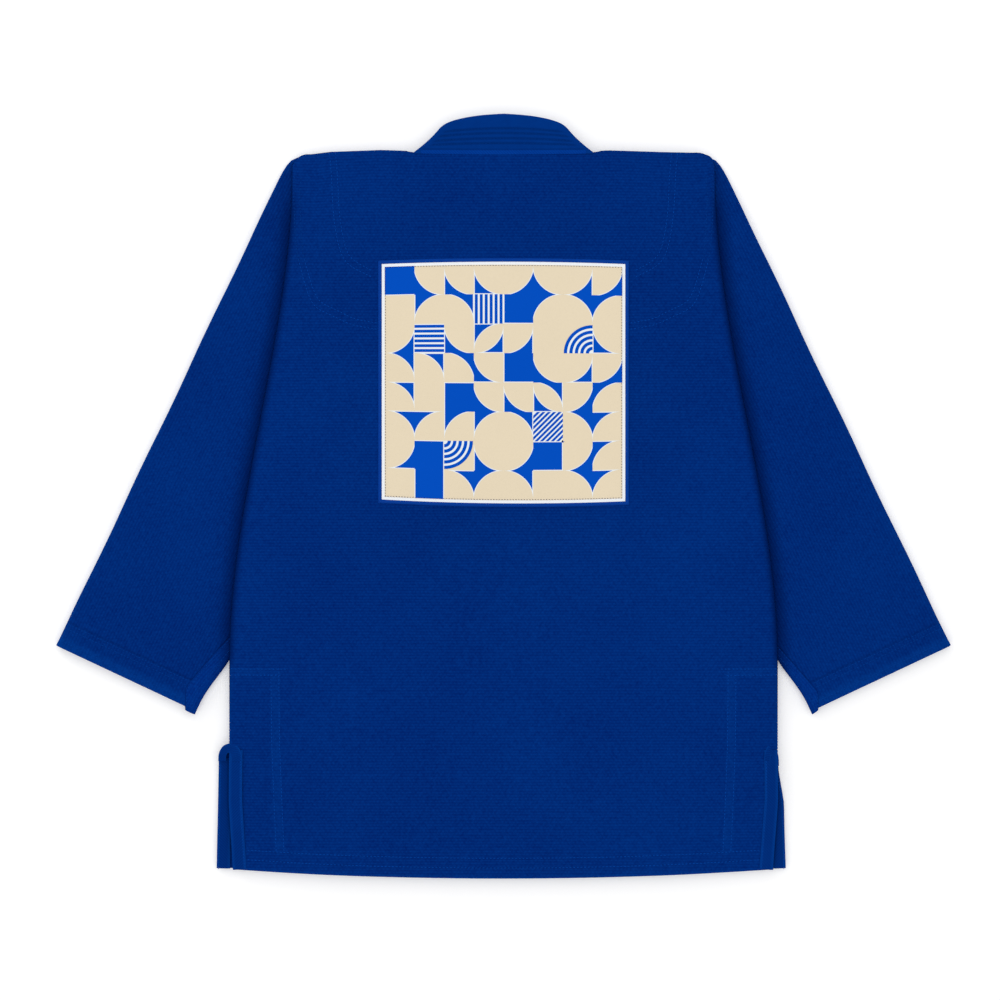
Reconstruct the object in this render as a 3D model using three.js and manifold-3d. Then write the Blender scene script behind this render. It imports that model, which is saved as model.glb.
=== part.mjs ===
// A grappling jacket (the top of a martial arts uniform), laid face down with its back upwards.
// Millimetres. +X is the wearer's right, +Y points to the collar and +Z away from the surface it lies on.
// The origin is on that surface, under the middle of the jacket's outline.
import * as THREE from "three";
import Module from "manifold-3d";
import { mergeVertices } from "three/addons/utils/BufferGeometryUtils.js";

const wasm = await Module();
wasm.setup();

// ---- Driving dimensions ----

// Outline, measured on the flat garment
const bodyHalfWidth = 297; // half the chest, from the underarm down to the vents
const shoulderHalfWidth = 229; // half the width across the shoulder fold
const shoulderY = 373.7; // the fold over the shoulders
const shoulderRadius = 20; // the corner at the shoulder tip
const flareEndY = -180; // where the side edge becomes straight
const ventY = -268; // top of the side vents
const skirtCornerY = -404; // hem at the vents
const hemDip = 9.6; // how much lower the back hem hangs in the middle
const tailTaper = 5; // how much each side of the back skirt narrows down to the hem
const frontSkirtFlare = 14; // how far each front skirt shows past the body's side
const underarmY = 95; // where the armhole seam meets the side seam

// Collar and lapels: one band, sewn to the neckline and down both fronts
const neckHalfWidth = 97; // half the neckline at the collar's seam
const neckSeamY = 366; // the collar's seam across the back of the neck
const collarTopY = 413.6; // the collar's free edge in the middle
const collarEndY = 371; // the collar's free edge where it turns to the front
const bandWidth = 50;
const bandThickness = 7;
const bandCloth = 1.5; // cover cloth round the foam core
const lapelNeckX = 75; // the lapel's middle line at the shoulder
const lapelHemX = 38; // and at the hem
const lapelTopY = 370;

// Sleeves
const sleeveTipY = 357; // the sleeve's outer edge at the shoulder
const sleeveTipReach = 6; // how far past the shoulder it starts
const cuffOuterReach = 189; // the cuff's corners, out from the body's side
const cuffOuterY = -160;
const cuffInnerReach = 40.5;
const cuffInnerY = -236.5;
const sleeveHeight = 12; // how thick the empty sleeve lies
const sleeveSeamWidth = 14; // flat felled underarm seam
const sleeveFoldWidth = 2.5; // the folded outer edge
const cuffBandWidth = 30;
const cuffBandWall = 1.2;

// Cloth and the space between layers
const cloth = 1.8; // the woven body cloth
const lining = 1.2; // reinforcement cloth, hems and vent tape
const layerGap = 0.3; // between two layers that lie on each other
const torsoGap = 8.5; // between the fronts and the back, where the wearer's body goes
const seamWidth = 8; // side and armhole seams
const seamInset = 6; // from the body's edge to the middle of a seam
const hemWidth = 22;
const tapeWidth = 14.5; // woven tape that binds the vents
const reinforcementWidth = 54; // side patches over the vents
const reinforcementTopY = -183;
const yokeWidth = 50; // the shoulder reinforcement inside the back
const yokeX = 193.5; // its arms, down from the shoulders
const yokeY = 212; // its crosspiece
const yokeRadius = 70;

// Back patch
const patchWidth = 262; // printed panel with its white margin
const patchHeight = 253;
const patchBorder = 5; // satin stitched edge round the patch
const patchMargin = 4; // white cloth that shows round the print
const patchY = 123.5; // middle of the patch

// Folds that act as hinges
const hingeGap = 0.4; // from a fold line to the cloth on each side of it
const frontFoldX = 118; // a front folds back on a line from here at the shoulder to the vent
const sleeveFoldClearance = 1.5; // the sleeve folds this far outside the body's edge
const headMargin = 16; // the hidden sleeve head stops this far from the front's fold line

// ---- Heights, from the surface up ----

const lapelZ = 0;
const frontZ = lapelZ + bandThickness + layerGap;
const frontTop = frontZ + cloth;
const backZ = frontTop + torsoGap;
const backTop = backZ + cloth;
const liningZ = backZ - layerGap - lining;
const headTop = frontZ - layerGap;
const sleeveBackZ = sleeveHeight - cloth;
const seamZ = frontTop + layerGap;
const seamHeight = backZ - layerGap - seamZ;
const patchZ = backTop + layerGap;
const collarZ = backTop - 5; // the collar stands a little proud of the back

// ---- Materials ----

const finish = (color, roughness) => new THREE.MeshStandardMaterial({ color, roughness, metalness: 0 });
const pearlWeave = finish(0x0a318c, 0.85);
const bandTwill = finish(0x0b3f9b, 0.75);
const tapeTwill = finish(0x0c449f, 0.7);
const foam = finish(0x2b2b2e, 0.9);
const creamPrint = finish(0xe4d5b8, 0.8);
const whiteTwill = finish(0xf2f5fa, 0.8);
const borderThread = finish(0x1046b4, 0.6);

// ---- Outline helpers ----

const point = (x, y) => new THREE.Vector2(x, y);

// Half the body's width at a height: straight below the flare, then drawing in to the shoulder.
function halfWidthAt(y) {
  const share = THREE.MathUtils.smoothstep(y, flareEndY, shoulderY - shoulderRadius);
  return bodyHalfWidth - (bodyHalfWidth - shoulderHalfWidth) * share;
}

// Points down the body's right edge, each moved inwards by inset.
function edgePoints(fromY, toY, steps, inset = 0) {
  return Array.from({ length: steps + 1 }, (_, i) => {
    const y = fromY + ((toY - fromY) * i) / steps;
    return point(halfWidthAt(y) - inset, y);
  });
}

function arcPoints(x, y, radius, fromAngle, toAngle, steps) {
  const arc = new THREE.ArcCurve(x, y, radius, fromAngle, toAngle, toAngle < fromAngle);
  return arc.getPoints(steps);
}

// The closed outline of a strip of even width along a line of points.
function ribbon(points, width) {
  const sides = points.map((p, i) => {
    const before = points[Math.max(i - 1, 0)];
    const after = points[Math.min(i + 1, points.length - 1)];
    const along = after.clone().sub(before).normalize();
    return point(-along.y, along.x).multiplyScalar(width / 2);
  });
  const left = points.map((p, i) => p.clone().add(sides[i]));
  const right = points.map((p, i) => p.clone().sub(sides[i]));
  return [...left, ...right.reverse()];
}

const mirrored = (points) => points.map((p) => point(-p.x, p.y)).reverse();

// Where the line through a and b meets the line through c and d.
function crossing(a, b, c, d) {
  const ab = b.clone().sub(a);
  const cd = d.clone().sub(c);
  const share = c.clone().sub(a).cross(cd) / ab.cross(cd);
  return a.clone().addScaledVector(ab, share);
}

// A line moved sideways, to the right of its direction when distance is positive.
function shifted([a, b], distance) {
  const along = b.clone().sub(a).normalize();
  const side = point(along.y, -along.x).multiplyScalar(distance);
  return [a.clone().add(side), b.clone().add(side)];
}

// ---- Solids ----

const jacket = new THREE.Group();

function add(name, geometry, material) {
  const mesh = new THREE.Mesh(geometry, material);
  mesh.name = name;
  jacket.add(mesh);
  return mesh;
}

function slab(outline, z, thickness) {
  const shape = new THREE.Shape(outline);
  return new THREE.ExtrudeGeometry(shape, { depth: thickness, bevelEnabled: false }).translate(0, 0, z);
}

function layer(name, outline, z, thickness, material) {
  return add(name, slab(outline, z, thickness), material);
}

// The wearer's right piece from its outline, and the left one from the mirrored outline.
function layerPair(name, outline, z, thickness, material) {
  layer("right_" + name, outline, z, thickness, material);
  layer("left_" + name, mirrored(outline), z, thickness, material);
}

function toSolid(geometry) {
  const bare = geometry.clone().deleteAttribute("normal").deleteAttribute("uv");
  const merged = mergeVertices(bare, 1e-3);
  return new wasm.Manifold(new wasm.Mesh({
    numProp: 3,
    vertProperties: new Float32Array(merged.attributes.position.array),
    triVerts: new Uint32Array(merged.index.array),
  }));
}

function toGeometry(solid) {
  const { vertProperties, triVerts } = solid.getMesh();
  return new THREE.BufferGeometry()
    .setAttribute("position", new THREE.BufferAttribute(vertProperties, 3))
    .setIndex(new THREE.BufferAttribute(triVerts, 1));
}

const cutAway = (whole, cut) => toGeometry(toSolid(whole).subtract(toSolid(cut)));

// ---- Sleeve corners and fold lines, on the wearer's right ----

const sleeveTip = point(shoulderHalfWidth + sleeveTipReach, sleeveTipY);
const cuffOuter = point(bodyHalfWidth + cuffOuterReach, cuffOuterY);
const cuffInner = point(bodyHalfWidth + cuffInnerReach, cuffInnerY);

const vent = point(bodyHalfWidth, ventY);
const frontFold = [point(frontFoldX, shoulderY), vent]; // down from the shoulder to the vent
const sideLine = [point(shoulderHalfWidth, shoulderY - shoulderRadius / 2), point(bodyHalfWidth, flareEndY)];
const sideNormal = sideLine[1].clone().sub(sideLine[0]).rotateAround(point(0, 0), Math.PI / 2).normalize();
const sideBulge = Math.max(...edgePoints(sideLine[0].y, sideLine[1].y, 24)
  .map((p) => p.sub(sideLine[0]).dot(sideNormal)));
const sleeveFold = shifted(sideLine, -(sideBulge + sleeveFoldClearance));

// ---- Back and its reinforcements ----

const shoulderCorner = arcPoints(
  shoulderHalfWidth - shoulderRadius, shoulderY - shoulderRadius, shoulderRadius, Math.PI / 2, 0, 5);

const backRight = [
  point(neckHalfWidth, neckSeamY),
  point(neckHalfWidth, shoulderY),
  ...shoulderCorner,
  ...edgePoints(shoulderY - shoulderRadius, ventY + hingeGap, 12).slice(1),
];
layer("back_panel", [...backRight, ...mirrored(backRight)], backZ, cloth, pearlWeave);

const yokeTopY = shoulderY - 29;
const yokeBend = arcPoints(yokeX - yokeRadius, yokeY + yokeRadius, yokeRadius, 0, -Math.PI / 2, 8);
const yokeRight = [point(yokeX, yokeTopY), ...yokeBend];
layer("shoulder_reinforcement", ribbon([...yokeRight, ...mirrored(yokeRight)], yokeWidth),
  liningZ, lining, bandTwill);

const reinforcementX = bodyHalfWidth - seamInset - reinforcementWidth;
layerPair("side_reinforcement", [
  point(reinforcementX, reinforcementTopY),
  point(bodyHalfWidth - seamInset - seamWidth, reinforcementTopY),
  point(bodyHalfWidth - seamInset - seamWidth, ventY + hingeGap),
  point(reinforcementX, ventY + hingeGap),
], liningZ, lining, pearlWeave);

// ---- Sides: the parts of the fronts that stay with the back, and the seams that join them ----

const sideFoldEdge = shifted(frontFold, -hingeGap);
const sideFootY = ventY + 10 * hingeGap;
layerPair("front_side", [
  crossing(...sideFoldEdge, point(0, shoulderY), point(1, shoulderY)),
  ...shoulderCorner,
  ...edgePoints(shoulderY - shoulderRadius, sideFootY, 12).slice(1),
], frontZ, cloth, pearlWeave);

const shoulderFoldDepth = 4;
layerPair("shoulder_fold", [
  point(frontFoldX, shoulderY - shoulderFoldDepth),
  point(shoulderHalfWidth - shoulderRadius, shoulderY - shoulderFoldDepth),
  point(shoulderHalfWidth - shoulderRadius, shoulderY),
  point(frontFoldX, shoulderY),
], seamZ, seamHeight - lining - layerGap, pearlWeave);

layerPair("armhole_seam",
  ribbon(edgePoints(shoulderY - 2 * shoulderRadius, underarmY + hingeGap, 6, seamInset), seamWidth),
  seamZ, seamHeight, pearlWeave);
layerPair("side_seam",
  ribbon(edgePoints(underarmY - hingeGap, ventY + 2 * hingeGap, 8, seamInset), seamWidth),
  seamZ, seamHeight, pearlWeave);

// ---- Sleeve heads: the cloth of each sleeve that lies hidden under the body ----

const headOuter = shifted(sleeveFold, hingeGap);
const headInner = shifted(frontFold, -headMargin);
const headTopLine = [point(0, shoulderY - shoulderRadius), point(1, shoulderY - shoulderRadius)];
const headFootLine = [point(0, underarmY - 2 * yokeRadius), point(1, underarmY - 2 * yokeRadius)];
const headOutline = [
  crossing(...headOuter, ...headTopLine),
  crossing(...headOuter, ...headFootLine),
  crossing(...headInner, ...headFootLine),
  crossing(...headInner, ...headTopLine),
];
layerPair("sleeve_head_front", headOutline, 0, cloth, pearlWeave);
layerPair("sleeve_head_back", headOutline, headTop - cloth, cloth, pearlWeave);

const gussetHalfWidth = 16;
const gussetHalfLength = 62;
const gussetX = halfWidthAt(underarmY) - 2 * gussetHalfWidth;
layerPair("armpit_gusset", [
  point(gussetX, underarmY - gussetHalfLength),
  point(gussetX + gussetHalfWidth, underarmY),
  point(gussetX, underarmY + gussetHalfLength),
  point(gussetX - gussetHalfWidth, underarmY),
], cloth + layerGap, headTop - 2 * (cloth + layerGap), pearlWeave);

// ---- Collar across the back of the neck ----

const collarRight = new THREE.SplineCurve([
  point(0, collarTopY),
  point(26, collarTopY - 1.9),
  point(52, collarTopY - 7.1),
  point(70, collarTopY - 17.1),
  point(81, collarTopY - 29.1),
  point(neckHalfWidth - layerGap, collarEndY),
]).getPoints(16);
const collarSeamY = neckSeamY + layerGap;
const collarEdge = [...collarRight, point(neckHalfWidth - layerGap, collarSeamY)];
const collarOutline = [...collarEdge, ...mirrored(collarEdge).slice(0, -1)];
const collarCavityShare = 0.93; // the core's outline, drawn in from the free edge about the seam
const cavity = collarOutline.map((p) =>
  point(p.x * collarCavityShare, collarSeamY + (p.y - collarSeamY) * collarCavityShare - layerGap));
const coreInset = 2 * layerGap;
const coreThickness = bandThickness - 2 * (bandCloth + layerGap);
add("collar_cover", cutAway(
  slab(collarOutline, collarZ, bandThickness),
  slab(cavity, collarZ + bandCloth, bandThickness - 2 * bandCloth),
), bandTwill);
const coreShare = 0.97;
const collarCore = cavity.map((p) =>
  point(p.x * coreShare, collarSeamY + coreInset + Math.max(p.y - collarSeamY, 0) * coreShare * 0.98));
layer("collar_core", collarCore, collarZ + bandCloth + layerGap, coreThickness, foam);

// ---- Back patch ----

function patchOutline(margin) {
  const x = patchWidth / 2 + margin;
  const y = patchHeight / 2 + margin;
  return [point(-x, patchY - y), point(x, patchY - y), point(x, patchY + y), point(-x, patchY + y)];
}
layer("patch_base", patchOutline(0), patchZ, 0.8, whiteTwill);
layer("patch_panel", patchOutline(-patchMargin), patchZ + 0.8 + layerGap, 0.6, creamPrint);
const borderShape = new THREE.Shape(patchOutline(patchBorder));
borderShape.holes.push(new THREE.Path(patchOutline(layerGap)));
add("patch_border",
  new THREE.ExtrudeGeometry(borderShape, { depth: 1.5, bevelEnabled: false }).translate(0, 0, patchZ),
  borderThread);

// ---- Back skirt, below the vents ----

const tailX = (y) => bodyHalfWidth - (tailTaper * (ventY - y)) / (ventY - skirtCornerY);
const tailTopY = ventY - hingeGap;
const hemY = (x) => skirtCornerY - hemDip * (1 - (x / bodyHalfWidth) ** 2);
const hemXs = Array.from({ length: 9 }, (_, i) => ((4 - i) / 4) * tailX(skirtCornerY));
layer("tail_panel", [
  point(-tailX(tailTopY), tailTopY),
  point(tailX(tailTopY), tailTopY),
  ...hemXs.map((x) => point(x, hemY(x))),
], backZ, cloth, pearlWeave);
const hemInset = tapeWidth + layerGap;
const reinforcementFootY = skirtCornerY + hemWidth;
const tailHemXs = hemXs.map((x) => (x * (tailX(skirtCornerY) - hemInset)) / tailX(skirtCornerY));
layer("tail_hem", [
  ...tailHemXs.map((x) => point(x, hemY(x) + layerGap)),
  ...tailHemXs.map((x) => point(x, hemY(x) + hemWidth)).reverse(),
], liningZ, lining, pearlWeave);
layerPair("tail_tape", [
  point(tailX(tailTopY - 6), tailTopY - 6),
  point(tailX(skirtCornerY) - layerGap, skirtCornerY + layerGap),
  point(tailX(skirtCornerY) - tapeWidth, skirtCornerY),
  point(tailX(tailTopY) - tapeWidth, tailTopY - 6),
], patchZ, lining, tapeTwill);
layerPair("tail_reinforcement", [
  point(reinforcementX, tailTopY),
  point(tailX(skirtCornerY) - tapeWidth, tailTopY),
  point(tailX(skirtCornerY) - tapeWidth, reinforcementFootY),
  point(reinforcementX, reinforcementFootY),
], liningZ, lining, pearlWeave);

// ---- Fronts, each with its length of the band ----

const lapelX = (y) => lapelHemX + ((lapelNeckX - lapelHemX) * (y - skirtCornerY)) / (lapelTopY - skirtCornerY);
const flapEdge = shifted(frontFold, hingeGap);
const frontTopY = shoulderY - 4 * hingeGap;
const frontCornerX = bodyHalfWidth + frontSkirtFlare;
const flapTop = crossing(...flapEdge, point(0, frontTopY), point(1, frontTopY));
const flapFoot = crossing(...flapEdge, point(0, ventY), point(1, ventY));
layerPair("front_panel", [
  point(lapelX(frontTopY), frontTopY),
  flapTop,
  flapFoot,
  point(frontCornerX, skirtCornerY),
  point(lapelX(skirtCornerY), skirtCornerY),
], frontZ, cloth, pearlWeave);
const frontHemGap = 3; // keeps the hem's square end off the slanting tape
layerPair("front_hem", [
  point(lapelX(skirtCornerY) + bandWidth / 2, skirtCornerY + layerGap),
  point(frontCornerX - tapeWidth - frontHemGap, skirtCornerY + layerGap),
  point(frontCornerX - tapeWidth - frontHemGap, skirtCornerY + hemWidth),
  point(lapelX(skirtCornerY) + bandWidth / 2, skirtCornerY + hemWidth),
], frontTop + layerGap, lining, pearlWeave);
layerPair("front_tape", [
  point(bodyHalfWidth + 1, ventY - 8),
  point(frontCornerX - layerGap, skirtCornerY),
  point(frontCornerX - tapeWidth, skirtCornerY),
  point(bodyHalfWidth - tapeWidth + 1, ventY - 8),
], frontTop + layerGap, lining, tapeTwill);

const lapelLength = Math.hypot(lapelTopY - skirtCornerY, lapelNeckX - lapelHemX) - 2;
const lapelLean = Math.atan2(lapelNeckX - lapelHemX, lapelTopY - skirtCornerY);
const halfBand = bandWidth / 2;
const bandSection = new THREE.Shape([ // folded round the core at the free edge, open at the seam
  point(-halfBand, 0),
  point(halfBand, 0),
  point(halfBand, bandCloth),
  point(-halfBand + bandCloth, bandCloth),
  point(-halfBand + bandCloth, bandThickness - bandCloth),
  point(halfBand, bandThickness - bandCloth),
  point(halfBand, bandThickness),
  point(-halfBand, bandThickness),
]);
const coreSection = new THREE.Shape([
  point(-halfBand + bandCloth + layerGap, bandCloth + layerGap),
  point(halfBand - 4, bandCloth + layerGap),
  point(halfBand - 4, bandThickness - bandCloth - layerGap),
  point(-halfBand + bandCloth + layerGap, bandThickness - bandCloth - layerGap),
]);

// A section drawn in X and Z, run along the lapel from the hem to the neck. side is 1 for the wearer's right.
function alongLapel(section, side) {
  const drawn = side > 0 ? section : new THREE.Shape(mirrored(section.getPoints()));
  return new THREE.ExtrudeGeometry(drawn, { depth: lapelLength, bevelEnabled: false })
    .rotateX(Math.PI / 2)
    .translate(0, lapelLength, 0)
    .rotateZ(-side * lapelLean)
    .translate(side * lapelHemX, skirtCornerY + 1, lapelZ);
}
for (const [name, side] of [["right", 1], ["left", -1]]) {
  add(name + "_lapel_cover", alongLapel(bandSection, side), bandTwill);
  add(name + "_lapel_core", alongLapel(coreSection, side), foam);
}

// ---- Sleeves ----

const sleeveEdge = shifted(sleeveFold, -hingeGap);
const outerEdge = [sleeveTip, cuffOuter];
const lowerEdge = [cuffInner, point(bodyHalfWidth, flareEndY + 2)];
const sleeveApex = crossing(...sleeveEdge, ...outerEdge);
const sleeveCrotch = crossing(...sleeveEdge, ...lowerEdge);
const sleeveOutline = [sleeveApex, sleeveCrotch, cuffInner, cuffOuter];
layerPair("sleeve_back", sleeveOutline, sleeveBackZ, cloth, pearlWeave);
layerPair("sleeve_front", sleeveOutline, 0, cloth, pearlWeave);

// The strip of the sleeve between two lines a given distance apart, from its start to the cuff.
const betweenZ = cloth + layerGap;
const betweenHeight = sleeveHeight - 2 * betweenZ;
const cuffLine = [cuffOuter, cuffInner];
const foldLine = shifted(outerEdge, sleeveFoldWidth);
layerPair("sleeve_fold", [
  sleeveApex,
  crossing(...sleeveEdge, ...foldLine),
  crossing(...foldLine, ...cuffLine),
  cuffOuter,
], betweenZ, betweenHeight, pearlWeave);
const cuffInside = shifted(cuffLine, cuffBandWidth + layerGap);
const seamLine = shifted(lowerEdge, sleeveSeamWidth);
layerPair("sleeve_seam", [
  crossing(...cuffInside, ...lowerEdge),
  crossing(...lowerEdge, ...sleeveEdge),
  crossing(...seamLine, ...sleeveEdge),
  crossing(...cuffInside, ...seamLine),
], betweenZ, betweenHeight, pearlWeave);

// The cuff's inner band is a flat ring of tape, cut out in plan and then hollowed along the sleeve.
const bandOuterLine = shifted(outerEdge, sleeveFoldWidth + layerGap);
const bandLowerLine = shifted(lowerEdge, layerGap);
const cuffBandOutline = [
  crossing(...bandOuterLine, ...cuffLine),
  crossing(...bandLowerLine, ...cuffLine),
  crossing(...bandLowerLine, ...shifted(cuffLine, cuffBandWidth)),
  crossing(...bandOuterLine, ...shifted(cuffLine, cuffBandWidth)),
];
const wallOuter = shifted(bandOuterLine, cuffBandWall);
const wallLower = shifted(bandLowerLine, cuffBandWall);
const past = 5; // the cut runs out past both ends of the band
const cuffHollow = [
  crossing(...wallOuter, ...shifted(cuffLine, -past)),
  crossing(...wallLower, ...shifted(cuffLine, -past)),
  crossing(...wallLower, ...shifted(cuffLine, cuffBandWidth + past)),
  crossing(...wallOuter, ...shifted(cuffLine, cuffBandWidth + past)),
];
for (const [name, outline, hollow] of [
  ["right_cuff_band", cuffBandOutline, cuffHollow],
  ["left_cuff_band", mirrored(cuffBandOutline), mirrored(cuffHollow)],
]) {
  add(name, cutAway(
    slab(outline, betweenZ, betweenHeight),
    slab(hollow, betweenZ + cuffBandWall, betweenHeight - 2 * cuffBandWall),
  ), tapeTwill);
}

export default jacket;
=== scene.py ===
# Looks for the grappling jacket: cloth, padding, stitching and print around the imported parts.
# Lengths are worked out in millimetres, as they are on a pattern, and turned to metres where a mesh is made.
import math
import random

import bpy
import numpy as np
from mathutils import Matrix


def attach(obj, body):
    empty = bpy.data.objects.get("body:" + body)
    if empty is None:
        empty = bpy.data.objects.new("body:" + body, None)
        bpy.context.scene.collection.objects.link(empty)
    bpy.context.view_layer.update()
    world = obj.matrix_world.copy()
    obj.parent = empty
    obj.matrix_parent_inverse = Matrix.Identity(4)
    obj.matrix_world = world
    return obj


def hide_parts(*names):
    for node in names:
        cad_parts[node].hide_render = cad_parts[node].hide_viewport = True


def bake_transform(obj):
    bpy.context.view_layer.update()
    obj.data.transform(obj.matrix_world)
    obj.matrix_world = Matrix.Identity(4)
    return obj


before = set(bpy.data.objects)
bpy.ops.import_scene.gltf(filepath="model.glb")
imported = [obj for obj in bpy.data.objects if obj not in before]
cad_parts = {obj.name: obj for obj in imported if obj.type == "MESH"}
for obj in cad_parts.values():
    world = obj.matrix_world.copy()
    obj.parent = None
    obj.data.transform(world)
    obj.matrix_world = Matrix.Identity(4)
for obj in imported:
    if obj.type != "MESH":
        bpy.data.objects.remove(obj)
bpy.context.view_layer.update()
mm = 0.001
print("frame loaded:", len(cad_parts), "nodes")

# camera, light and floor

cameraView = {"lens": 85, "height": 2.57, "x": -0.0038, "y": -0.0043}
studio = {"world": 0.66, "top": 52.0, "topSize": 4.6, "topHeight": 3.5, "key": 9.0, "keySize": 1.2,
          "floor": (0.97, 0.97, 0.97), "floorGlow": 0.16, "floorHalf": 9, "floorHeight": -0.0006}


def putInScene(name, data):
    made = bpy.data.objects.new(name, data)
    bpy.context.scene.collection.objects.link(made)
    return made


def placeCamera():
    data = bpy.data.cameras.new("camera")
    data.lens = cameraView["lens"]
    camera = putInScene("camera", data)
    camera.location = (cameraView["x"], cameraView["y"], cameraView["height"])
    bpy.context.scene.camera = camera


def softLight(name, place, size, power, aim=(0, 0, 0)):
    data = bpy.data.lights.new(name, "AREA")
    data.size = size
    data.energy = power
    light = putInScene(name, data)
    light.location = place
    away = [p - a for p, a in zip(place, aim)]
    light.rotation_euler = (math.atan2(math.hypot(away[0], away[1]), away[2]), 0,
                            math.atan2(away[0], -away[1]))


placeCamera()
softLight("overhead", (0.1, 0.1, studio["topHeight"]), studio["topSize"], studio["top"])
softLight("key", (-1.5, 1.9, 1.3), studio["keySize"], studio["key"])
world = bpy.data.worlds.new("studio")
world.use_nodes = True
world.node_tree.nodes["Background"].inputs["Color"].default_value = (1, 1, 1, 1)
world.node_tree.nodes["Background"].inputs["Strength"].default_value = studio["world"]
bpy.context.scene.world = world
bpy.context.scene.view_settings.view_transform = "Standard"
print("camera and light placed")


# shader maths

class Wire:  # a socket that can be used in an expression
    def __init__(self, shader, socket):
        self.shader = shader
        self.socket = socket

    def calc(self, operation, *others):
        values = {i: v for i, v in enumerate((self, *others))}
        return self.shader.node("ShaderNodeMath", {"operation": operation}, values)["Value"]

    def __add__(self, other): return self.calc("ADD", other)
    __radd__ = __add__
    def __sub__(self, other): return self.calc("SUBTRACT", other)
    def __rsub__(self, other): return (self * -1) + other
    def __mul__(self, other): return self.calc("MULTIPLY", other)
    __rmul__ = __mul__
    def __truediv__(self, other): return self.calc("DIVIDE", other)
    def floor(self): return self.calc("FLOOR")
    def cos(self): return self.calc("COSINE")
    def clamp(self): return self.calc("MAXIMUM", 0.0).calc("MINIMUM", 1.0)


class Outputs:
    def __init__(self, shader, node):
        self.shader = shader
        self.node = node

    def __getitem__(self, name):
        return Wire(self.shader, self.node.outputs[name])


class Shader:
    def __init__(self, name):
        self.material = bpy.data.materials.new(name)
        self.material.use_nodes = True
        self.tree = self.material.node_tree
        self.tree.nodes.clear()

    def node(self, kind, settings=None, inputs=None):
        made = self.tree.nodes.new(kind)
        for name, value in (settings or {}).items():
            setattr(made, name, value)
        for name, value in (inputs or {}).items():
            if isinstance(value, Wire):
                self.tree.links.new(value.socket, made.inputs[name])
            else:
                made.inputs[name].default_value = value
        return Outputs(self, made)

    def mix(self, factor, a, b):
        made = self.node("ShaderNodeMix", {"data_type": "RGBA"}, {0: factor})
        for index, value in ((6, a), (7, b)):
            if isinstance(value, Wire):
                self.tree.links.new(value.socket, made.node.inputs[index])
            else:
                made.node.inputs[index].default_value = (*value, 1)
        return Wire(self, made.node.outputs[2])

    def noise(self, scale, detail=2.0, rough=0.5, vector=None):
        inputs = {"Scale": scale, "Detail": detail, "Roughness": rough}
        inputs["Vector"] = vector or self.node("ShaderNodeTexCoord")["Object"]
        return self.node("ShaderNodeTexNoise", {}, inputs)["Fac"]

    def flat(self):  # the cloth's own flat coordinates
        place = self.node("ShaderNodeUVMap", {"uv_map": "flat"})["UV"]
        return self.node("ShaderNodeSeparateXYZ", {}, {"Vector": place})

    def mark(self, name):
        return self.node("ShaderNodeAttribute", {"attribute_name": name})["Fac"]

    def finish(self, colour, roughness, height=None, sheen=0.0, sheenTint=(1, 1, 1), specular=0.1, glow=0.0):
        inputs = {"Base Color": colour, "Roughness": roughness, "Sheen Weight": sheen,
                  "Sheen Tint": (*sheenTint, 1), "Sheen Roughness": 0.5, "Specular IOR Level": specular}
        if height is not None:
            inputs["Normal"] = self.node("ShaderNodeBump", {}, {"Strength": 1.0, "Distance": 1.0,
                                                                "Height": height})["Normal"]
        if glow:
            inputs.update({"Emission Color": (1, 1, 1, 1), "Emission Strength": glow})
        skin = self.node("ShaderNodeBsdfPrincipled", {}, inputs)
        self.node("ShaderNodeOutputMaterial", {}, {"Surface": skin["BSDF"]})
        return self.material


tau = 2 * math.pi
pearl = {"dark": (0.0004, 0.0133, 0.131), "light": (0.0008, 0.0355, 0.234), "worn": (0.0012, 0.056, 0.315),
         "pitch": 3.19, "grain": 4.15, "relief": 0.32, "sheenTint": (0.01, 0.14, 0.60)}
twill = {"dark": (0.0005, 0.022, 0.162), "light": (0.0007, 0.036, 0.236), "pitch": 1.9, "relief": 0.10}
tape = {"dark": (0.0005, 0.0155, 0.128), "light": (0.0008, 0.034, 0.225), "pitch": 3.1, "relief": 0.16}


def toned(colour, tone):
    return tuple(c * tone for c in colour)


def ridges(place):  # 0 to 1 and back with each whole step of place
    return 0.5 - (place * tau).cos() * 0.5


def pearlWeave(name, tone=1.0, relief=1.0):
    # rows of grains, each row half a grain along from the last, on the cloth's own flat coordinates
    s = Shader(name)
    flat = s.flat()
    across, along = flat["X"], flat["Y"]
    drift = s.noise(45.0, 1.0) * 0.5
    row = along / (pearl["pitch"] * mm)
    rib = ridges(row)
    grain = ridges(across / (pearl["grain"] * mm) + (row.floor() * 0.5) + drift)
    fuzz = s.noise(900.0, 2.0)
    fleck = s.noise(260.0, 2.0, 0.7)
    wash = s.noise(7.0, 3.0, 0.6)
    patchy = s.noise(60.0, 2.0)
    height = rib * (0.35 + 0.65 * grain)
    shade = (0.20 + height * 0.40 + (fleck - 0.5) * 1.1 + fuzz * 0.3 + (wash - 0.5) * 0.5
             + (patchy - 0.5) * 0.2).clamp()
    colour = s.mix(shade, toned(pearl["dark"], tone), toned(pearl["light"], tone))
    colour = s.mix((s.mark("worn") * (0.25 + fleck * 0.5)).clamp(), colour, pearl["worn"])
    # painted shade: darker blue where the shade mark says shade falls, in folds, grooves and beside overlapping edges
    colour = s.mix((s.mark("painted_shade") * 0.68).clamp(), colour, toned(pearl["dark"], 0.5))
    relieved = (height * pearl["relief"] * relief + fuzz * 0.10 + fleck * 0.12) * mm
    return s.finish(colour, 0.88 + (fuzz - 0.5) * 0.1, relieved, 0.06, pearl["sheenTint"], 0.0)


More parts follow.
